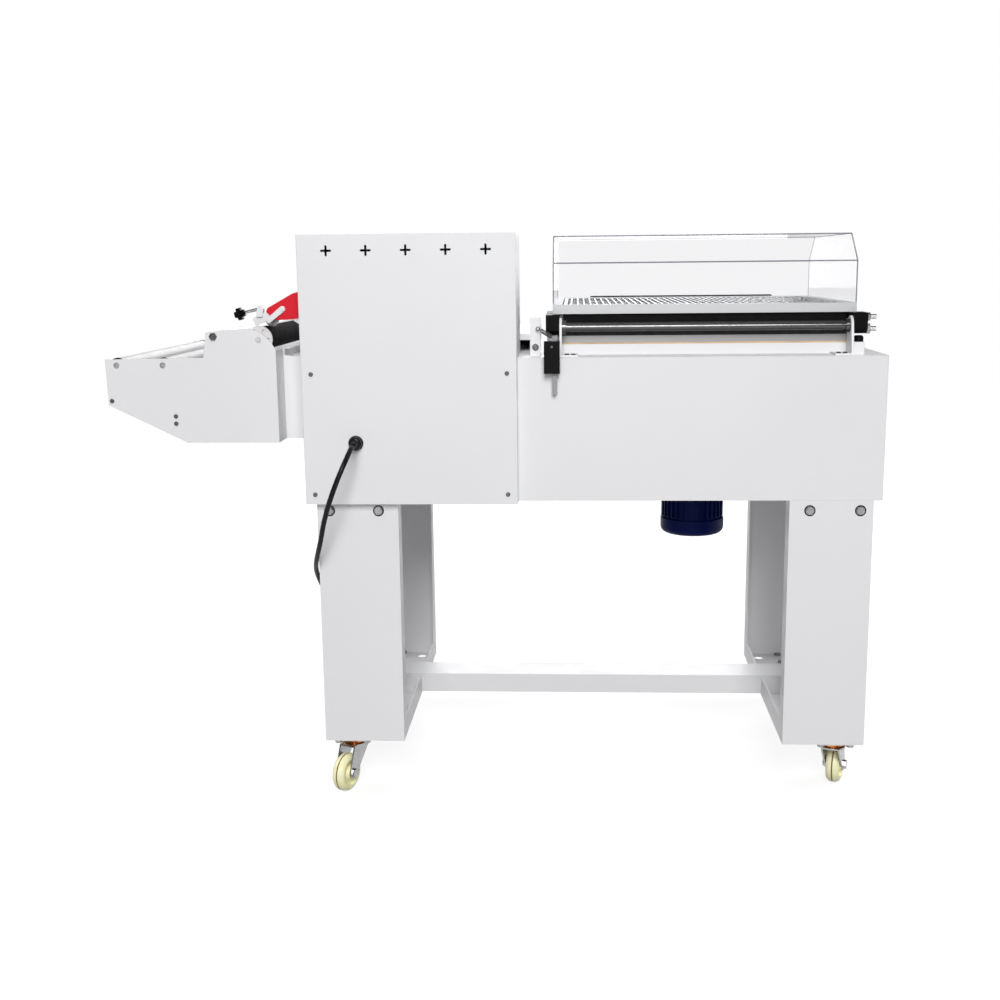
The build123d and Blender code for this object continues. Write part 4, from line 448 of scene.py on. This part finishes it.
plainDress = {
    whitePaint: ["leg_frame_left", "leg_frame_right", "cross_brace", "cabinet_shell", "cabinet_floor",
                 "deck_plate", "hinge_brackets", "control_box_housing", "control_box_cover", "control_panel",
                 "rack_rear_plate", "rack_front_plate", "rack_tie_bars", "loading_tray", "perforator_arm"],
    zincSteel: ["frame_bolts", "fan_wheel", "pin_wheels"],
    forkZinc: ["caster_fork_rear_right", "caster_fork_rear_left", "caster_fork_front_right",
               "caster_fork_front_left"],
    screwSteel: ["case_screws"],
    stainless: ["shrink_chamber", "fan_guard", "inverting_head"],
    barAluminium: ["sealing_frame", "lower_jaw_bars", "upper_jaw_bars"],
    leverSteel: ["switch_lever"],
    heaterSheath: ["heater_elements"],
    gridSteel: ["product_grid"],
    springSteel: ["lift_spring"],
    blackRubber: ["frame_gasket"],
    blackBlock: ["limit_switch"],
    blackPlastic: ["frame_handle", "power_switch", "control_electrics", "power_cord", "power_cord_coil"],
    glossBlack: ["cable_gland"],
    sealSponge: ["chamber_seal"],
    motorBlue: ["fan_motor"],
    perforatorRed: ["perforator_guard"],
    buttonRed: ["emergency_stop"],
    hoodClear: ["hood_dome"],
    heatStrip: ["insulating_strips"],
}
for material, nodes in plainDress.items():
    for node in nodes:
        dress(node, material)


# Casters: zinc plates with a copper-coloured bearing race, and cream wheels with a seam round the middle
casterSpec = {
    "raceHeights": (0.0872, 0.1018),  # in metres above the floor
    "seam": 0.0013,  # half its width in metres
    "yaw": {"rear_right": 68.0, "rear_left": 249.0, "front_right": 25.0, "front_left": 205.0},
}


def copperRace(name, heights):
    material, tree, shader, spot = startMaterial(name, (0.7, 0.7, 0.7), 0.3, 1.0)
    race = within(tree, axisOf(tree, spot, "Z"), *heights)
    bloom = spread(tree, noiseOf(tree, spot, scale=70, detail=4), 0, 1)
    zinc = blendColours(tree, bloom, (0.5, 0.5, 0.51), (0.74, 0.73, 0.73))
    copper = blendColours(tree, bloom, (0.50, 0.15, 0.03), (0.95, 0.46, 0.16))
    colourFrom(tree, shader, mixColours(tree, race, zinc, copper))
    roughFrom(tree, shader, spread(tree, noiseOf(tree, spot, scale=160, detail=3), 0.2, 0.42))
    bumpFrom(tree, shader, noiseOf(tree, spot, scale=600, detail=2), strength=0.12, depth=0.0002, edge=0.0008)
    return material


def castWheel(place, yaw, seam):
    material, tree, shader, spot = startMaterial("creamWheel_" + place, (0.8, 0.74, 0.4), 0.4)
    low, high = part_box("caster_wheel_" + place)
    local = tree.nodes.new("ShaderNodeMapping")
    local.vector_type = "TEXTURE"
    local.inputs["Location"].default_value = (Vector(low) + Vector(high)) / 2
    local.inputs["Rotation"].default_value = (0, 0, math.radians(yaw))
    tree.links.new(spot, local.inputs["Vector"])
    across = mathOf(tree, "ABSOLUTE", axisOf(tree, local.outputs[0], "Y"))
    patches = spread(tree, noiseOf(tree, spot, scale=30, detail=4), 0, 1)
    cream = blendColours(tree, patches, (0.96, 0.91, 0.50), (0.99, 0.97, 0.64))
    onSeam = mathOf(tree, "LESS_THAN", across, seam)
    colourFrom(tree, shader, mixColours(tree, onSeam, cream, (0.20, 0.12, 0.045)))
    shader.inputs["Subsurface Weight"].default_value = 0.12
    shader.inputs["Subsurface Radius"].default_value = (0.004, 0.003, 0.001)
    roughFrom(tree, shader, spread(tree, noiseOf(tree, spot, scale=80, detail=3), 0.3, 0.5))
    bumpFrom(tree, shader, noiseOf(tree, spot, scale=350, detail=2), strength=0.15, depth=0.0003, edge=0.0006)
    return material


dress("caster_top_plates", copperRace("copperRace", casterSpec["raceHeights"]))
for place, yaw in casterSpec["yaw"].items():
    dress("caster_wheel_" + place, castWheel(place, yaw, casterSpec["seam"]))


# Each band starts at its first number, in the drawing's millimetres.
# Its colour, metal share and roughness follow.
def banded(name, axis, bands):
    material, tree, shader, spot = startMaterial(name, bands[0][1], bands[0][3])
    shader.inputs["Specular IOR Level"].default_value = 0.07
    starts = [at(band[0], band[0], band[0])["XYZ".index(axis)] for band in bands]
    reach = starts[-1] - starts[0] + mm
    along = spread(tree, axisOf(tree, spot, axis), 0, 1, starts[0], starts[0] + reach)
    colours, finish = (tree.nodes.new("ShaderNodeValToRGB") for _ in range(2))
    picks = {colours: [band[1] for band in bands], finish: [(band[2], band[3], 0) for band in bands]}
    for ramp, values in picks.items():
        ramp.color_ramp.interpolation = "CONSTANT"
        elements = ramp.color_ramp.elements
        for i, value in enumerate(values):
            place = (starts[i] - starts[0]) / reach
            element = elements[i] if i < 2 else elements.new(place)
            element.position = place
            element.color = (*value, 1)
        tree.links.new(along, ramp.inputs["Fac"])
    patches = spread(tree, noiseOf(tree, spot, scale=25, detail=3), 0, 1)
    cloudy = blendColours(tree, patches, (0.88, 0.88, 0.88), (1, 1, 1))
    colourFrom(tree, shader, mixColours(tree, 1.0, colours.outputs["Color"], cloudy, "MULTIPLY"))
    parts = tree.nodes.new("ShaderNodeSeparateColor")
    tree.links.new(finish.outputs["Color"], parts.inputs[0])
    tree.links.new(parts.outputs["Red"], shader.inputs["Metallic"])
    worn = spread(tree, noiseOf(tree, spot, scale=90, detail=3), -0.05, 0.08)
    roughFrom(tree, shader, mathOf(tree, "ADD", parts.outputs["Green"], worn))
    bumpFrom(tree, shader, noiseOf(tree, spot, scale=500, detail=2), strength=0.15, depth=0.0002, edge=0.0006)
    return material


silver, jet, paleCap = (0.6, 0.6, 0.61), (0.003, 0.003, 0.0035), (0.8, 0.8, 0.8)
# The darker steel is the hinge shaft's own chrome made dark: a painted dark reflection of the dark parts
# round it.
darkReflectionSteel, brightSteel, pinBrass = (0.10, 0.098, 0.10), (0.72, 0.72, 0.73), (0.72, 0.6, 0.36)
clampBoltReach = 17  # how far the clamp bolts' heads stand out of the left hinge block
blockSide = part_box("hinge_blocks")[0][0] / mm + rowOrigin.x + clampBoltReach
rollerTube = banded("rollerTube", "Y", [(-640, silver, 1, 0.25), (-592, jet, 0, 0.45),
                                        (-580, paleCap, 0, 0.35), (-32, jet, 0, 0.45),
                                        (-20, silver, 1, 0.25)])
bandedDress = {
    "film_roller_outer": rollerTube,
    "film_roller_inner": rollerTube,
    "feed_roller": banded("feedRubber", "Y", [(-640, silver, 1, 0.3), (-588, paleCap, 0, 0.35),
                                              (-578, jet, 0, 0.85), (-34, paleCap, 0, 0.35),
                                              (-23, silver, 1, 0.3)]),
    "tension_knob": banded("knobBlack", "X", [(1150, silver, 1, 0.25), (1203.5, jet, 0, 0.35)]),
    "hinge_blocks": banded("blockBlack", "X", [(0, silver, 1, 0.25), (blockSide, jet, 0, 0.42)]),
    # The shaft's middle carries the darker steel between bright ends: painted dark reflection on one chrome.
    "hinge_shaft": banded("shaftSteel", "X", [(0, brightSteel, 1, 0.15), (60, darkReflectionSteel, 1, 0.2),
                                              (604, brightSteel, 1, 0.15)]),
    "power_plug": banded("plugBlack", "X", [(900, jet, 0, 0.45), (1017, pinBrass, 1, 0.25)]),
}
for node, material in bandedDress.items():
    dress(node, material)
print("nodes dressed")


# Mains lead. The coil's rows give the angle round it, and the radius and height of the lead's middle.
# It runs down through the outer turns and up through the inner.
leadSpec = {
    "diameter": 9.5,
    "length": 1.86,
    "route": [(984, 36, 701), (984, 62, 701), (987, 86, 689.5), (995, 103, 669), (1006, 109, 643),
              (1017.5, 106, 615), (1028, 98, 588), (1038.5, 86, 557), (1047, 71, 526), (1057, 51, 499),
              (1067, 26, 474), (1074, -3, 452), (1076, -31, 430), (1073, -57, 404), (1065, -72, 373),
              (1053, -74, 326), (1040, -72, 274), (1027, -68, 222), (1012, -71, 180), (996, -79, 152),
              (975, -91, 137), (953, -108, 131.6)],
    "coilCentre": (996, -145),
    "stepsPerTurn": 16,
    "coil": [(168, 57.7, 131.6), (195, 57.7, 131.6), (250, 57.7, 122.1), (465, 57.7, 122.1),
             (520, 57.7, 112.6), (775, 57.7, 112.6), (830, 48.2, 112.6), (1080, 48.2, 112.6),
             (1135, 48.2, 122.1), (1258, 48.2, 122.1), (1322, 53.5, 135.9)],
    "tail": [(986, -198, 136)],
}


def coilPoints(spec):
    step = 360 / spec["stepsPerTurn"]
    inside = 0.75 + 0.25 * math.cos(math.radians(step))  # a quadratic spline runs this much inside its points
    points = []
    angle = spec["coil"][0][0]
    while angle <= spec["coil"][-1][0]:
        for (a0, r0, z0), (a1, r1, z1) in zip(spec["coil"], spec["coil"][1:]):
            if a0 <= angle <= a1:
                share = (angle - a0) / (a1 - a0)
                radius = (r0 + (r1 - r0) * share) / inside
                turn = math.radians(angle)
                points.append((spec["coilCentre"][0] + radius * math.cos(turn),
                               spec["coilCentre"][1] + radius * math.sin(turn), z0 + (z1 - z0) * share))
                break
        angle += step
    return points


def addLead(spec):
    points = spec["route"] + coilPoints(spec) + spec["tail"]
    curve = bpy.data.curves.new("powerCord", "CURVE")
    curve.dimensions = "3D"
    curve.resolution_u = 8
    spline = curve.splines.new("NURBS")
    spline.points.add(len(points) - 1)
    for point, place in zip(spline.points, points):
        point.co = (*at(*place), 1)
    spline.order_u = 3
    spline.use_endpoint_u = True
    lead = bpy.data.objects.new("powerCord", curve)
    bpy.context.scene.collection.objects.link(lead)
    line = bpy.data.meshes.new_from_object(lead)
    ends = [[line.vertices[i].co for i in edge.vertices] for edge in line.edges]
    print("lead length", round(sum((a - b).length for a, b in ends), 4))
    bpy.data.meshes.remove(line)
    curve.bevel_depth = spec["diameter"] / 2 * mm
    curve.bevel_resolution = 5
    curve.use_fill_caps = True
    curve.materials.append(leadSheath)
    return lead


lead = addLead(leadSpec)
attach(lead, "root")
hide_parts("power_cord", "power_cord_coil")
print("lead laid")


# Shapes for the small pieces
def turned(bm, profile, centre, axis, steps):
    axis = Vector(axis)
    side = axis.orthogonal().normalized()
    verts = [bm.verts.new(at(*centre) + (side * radius + axis * along) * mm) for radius, along in profile]
    edges = [bm.edges.new(pair) for pair in zip(verts, verts[1:] + verts[:1])]
    bmesh.ops.spin(bm, geom=verts + edges, cent=at(*centre), axis=axis, angle=2 * math.pi, steps=steps,
                   use_merge=True)
    bmesh.ops.remove_doubles(bm, verts=bm.verts, dist=mergeGap)


def bar(bm, start, end, radius, sides, tip=None):
    a, b = at(*start), at(*end)
    place = Matrix.Translation((a + b) / 2) @ (b - a).to_track_quat("Z", "Y").to_matrix().to_4x4()
    bmesh.ops.create_cone(bm, cap_ends=True, segments=sides, radius1=radius * mm,
                          radius2=(radius if tip is None else tip) * mm, depth=(b - a).length, matrix=place)


def slab(bm, low, high, rounding):
    a, b = at(*low), at(*high)
    place = Matrix.Translation((a + b) / 2) @ Matrix.Diagonal((*(b - a), 1))
    made = bmesh.ops.create_cube(bm, size=1, matrix=place)
    edges = list({edge for vert in made["verts"] for edge in vert.link_edges})
    bmesh.ops.bevel(bm, geom=edges, offset=rounding * mm, affect="EDGES", segments=2, profile=0.5,
                    material=-1)


def makePiece(name, bm, material, sharp=35):
    bmesh.ops.recalc_face_normals(bm, faces=bm.faces)
    mesh = bpy.data.meshes.new(name)
    bm.to_mesh(mesh)
    bm.free()
    mesh.shade_smooth()
    mesh.set_sharp_from_angle(angle=math.radians(sharp))
    mesh.materials.append(material)
    piece = bpy.data.objects.new(name, mesh)
    bpy.context.scene.collection.objects.link(piece)
    return piece


def addPiece(name, bm, material, body, sharp=35):
    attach(makePiece(name, bm, material, sharp), body)


# Bright lines along the clear hood's edges: painted refraction in the sheet's thick edges.
# Their outline as (y, z), the two ends' x, and a radius for each run.
hoodRefractionLines = {
    "outline": [(-59.5, 952), (-59.5, 1028.3), (-120.6, 1078.5), (-497.4, 1078.5), (-558.5, 1028.3),
                (-558.5, 952)],
    "ends": (51.5, 614.5),
    "radii": [1.3, 1.3, 0.8, 0.6, 0.6],
    "sides": 8,
}


def addHoodRefractionLines(spec):
    bm = bmesh.new()
    for x in spec["ends"]:
        for a, b, radius in zip(spec["outline"], spec["outline"][1:], spec["radii"]):
            bar(bm, (x, *a), (x, *b), radius, spec["sides"])
    for (y, z), radius in zip(spec["outline"][1:-1], spec["radii"]):
        bar(bm, (spec["ends"][0], y, z), (spec["ends"][1], y, z), radius, spec["sides"])
    addPiece("hoodRefractionLines", bm, hoodRefractionTint, "hood")


addHoodRefractionLines(hoodRefractionLines)


# Ribbed strain relief of the mains lead, and the round collar on the gland
strainRelief = {
    "start": (984, 33.6, 701),
    "profile": [(4.2, 0), (7.4, 0), (7.4, 3), (6.7, 3.6), (6.7, 5), (7.2, 5.6), (7.2, 8), (6.5, 8.6),
                (6.5, 10), (6.9, 10.6), (6.9, 13), (6.2, 13.6), (6.2, 15), (6.6, 15.6), (6.6, 18),
                (6.0, 18.6), (5.9, 23.6), (5.4, 24.4), (4.2, 24.4)],
    "seat": (984, 20.1, 701),
    "collar": [(12.3, 0), (14.1, 0), (14.1, 3.4), (13.3, 4.6), (12.3, 4.6)],
}


def addStrainRelief(spec):
    bm = bmesh.new()
    turned(bm, spec["profile"], spec["start"], (0, 1, 0), 32)
    turned(bm, spec["collar"], spec["seat"], (0, 1, 0), 48)
    addPiece("strainRelief", bm, glossBlack, "root", 50)


addStrainRelief(strainRelief)


# Bolt of the spring post and screw of the switch block, with radius and reach of each washer and head
hingeScrews = {
    "postBolt": {"place": (648, -30, 874), "washer": (6.5, 1.2), "head": (4.6, 5.2)},
    "switchScrew": {"place": (616.5, 25, 878), "washer": (2.4, 0.5), "head": (1.6, 1.2)},
}
screwTaper = {"washer": 0.95, "head": 0.93}  # share of the radius left at the outer face


def addHingeScrews(specs):
    bm = bmesh.new()
    for spec in specs.values():
        x, y, z = spec["place"]
        washer, lap = spec["washer"]
        head, reach = spec["head"]
        bar(bm, (x, y, z), (x, y + lap, z), washer, 24, washer * screwTaper["washer"])
        bar(bm, (x, y + lap, z), (x, y + reach, z), head, 6, head * screwTaper["head"])
    addPiece("hingeScrews", bm, screwSteel, "root")


addHingeScrews(hingeScrews)


def addSpring():
    bm = bmesh.new()
    bm.from_mesh(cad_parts["lift_spring"].data)
    bmesh.ops.remove_doubles(bm, verts=bm.verts, dist=mergeGap)
    spring = makePiece("stretchedSpring", bm, springSteel)
    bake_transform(spring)
    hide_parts("lift_spring")


addSpring()


# Dark rings on the rims of the leg bolts' washers, at the rear and the front of the legs, in black rubber.
# They are painted shade and dark reflection on the washers' chamfers.
washerShadeRings = {
    "columns": (40.5, 134.5, 948.5, 1042.5),
    "height": 568,
    "seats": {0: 1, -574: -1},
    "profile": [(8.0, 1.5), (8.6, 2.0), (9.8, 2.0), (10.4, 1.2), (10.4, 0.1), (8.0, 0.1)],
}


def addWasherShadeRings(spec):
    bm = bmesh.new()
    for x in spec["columns"]:
        for seat, way in spec["seats"].items():
            turned(bm, spec["profile"], (x, seat, spec["height"]), (0, way, 0), 40)
    addPiece("washerShadeRings", bm, blackRubber, "root")


addWasherShadeRings(washerShadeRings)


# Faces of the controllers, and the rings round the button and the switch
panelFront = {
    "columns": (772, 842),
    "height": 1002,
    "face": -141,
    "glass": {"half": 20.6, "foot": -1.6, "top": 20.6, "front": 0.6, "back": 2.2, "rounding": 0.4},
    "keys": {"count": 4, "first": -15, "pitch": 10, "half": 3.6, "foot": -17, "top": -10, "front": -1.0,
             "rounding": 0.8},
    "panel": -133,
    "stopPlace": (995, 1002),
    "stopGap": 1.2,
    "stopRing": [(0, 0), (6, 0), (5.4, 2.2), (0.6, 2.2)],
    "switchPlace": (995, 922),
    "switchRing": [(17.4, 0), (24, 0), (23.4, 1.4), (17.8, 1.4)],
}


def addPanelFronts(spec):
    pane, key, face, height = spec["glass"], spec["keys"], spec["face"], spec["height"]
    glass, keys, rings = bmesh.new(), bmesh.new(), bmesh.new()
    for x in spec["columns"]:
        slab(glass, (x - pane["half"], face + pane["front"], height + pane["foot"]),
             (x + pane["half"], face + pane["back"], height + pane["top"]), pane["rounding"])
        for i in range(key["count"]):
            middle = x + key["first"] + key["pitch"] * i
            slab(keys, (middle - key["half"], face + key["front"], height + key["foot"]),
                 (middle + key["half"], face + pane["front"], height + key["top"]), key["rounding"])
    low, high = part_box("emergency_stop")
    inner = (high[0] - low[0]) / 2 / mm + spec["stopGap"]
    stopRing = [(inner + radius, along) for radius, along in spec["stopRing"]]
    for (x, z), profile in ((spec["stopPlace"], stopRing), (spec["switchPlace"], spec["switchRing"])):
        turned(rings, profile, (x, spec["panel"], z), (0, -1, 0), 48)
    addPiece("controllerDisplays", glass, displayGlass, "root")
    addPiece("controllerKeys", keys, buttonGrey, "root")
    addPiece("panelRings", rings, stopYellow, "root")


addPanelFronts(panelFront)
print("small pieces ready")
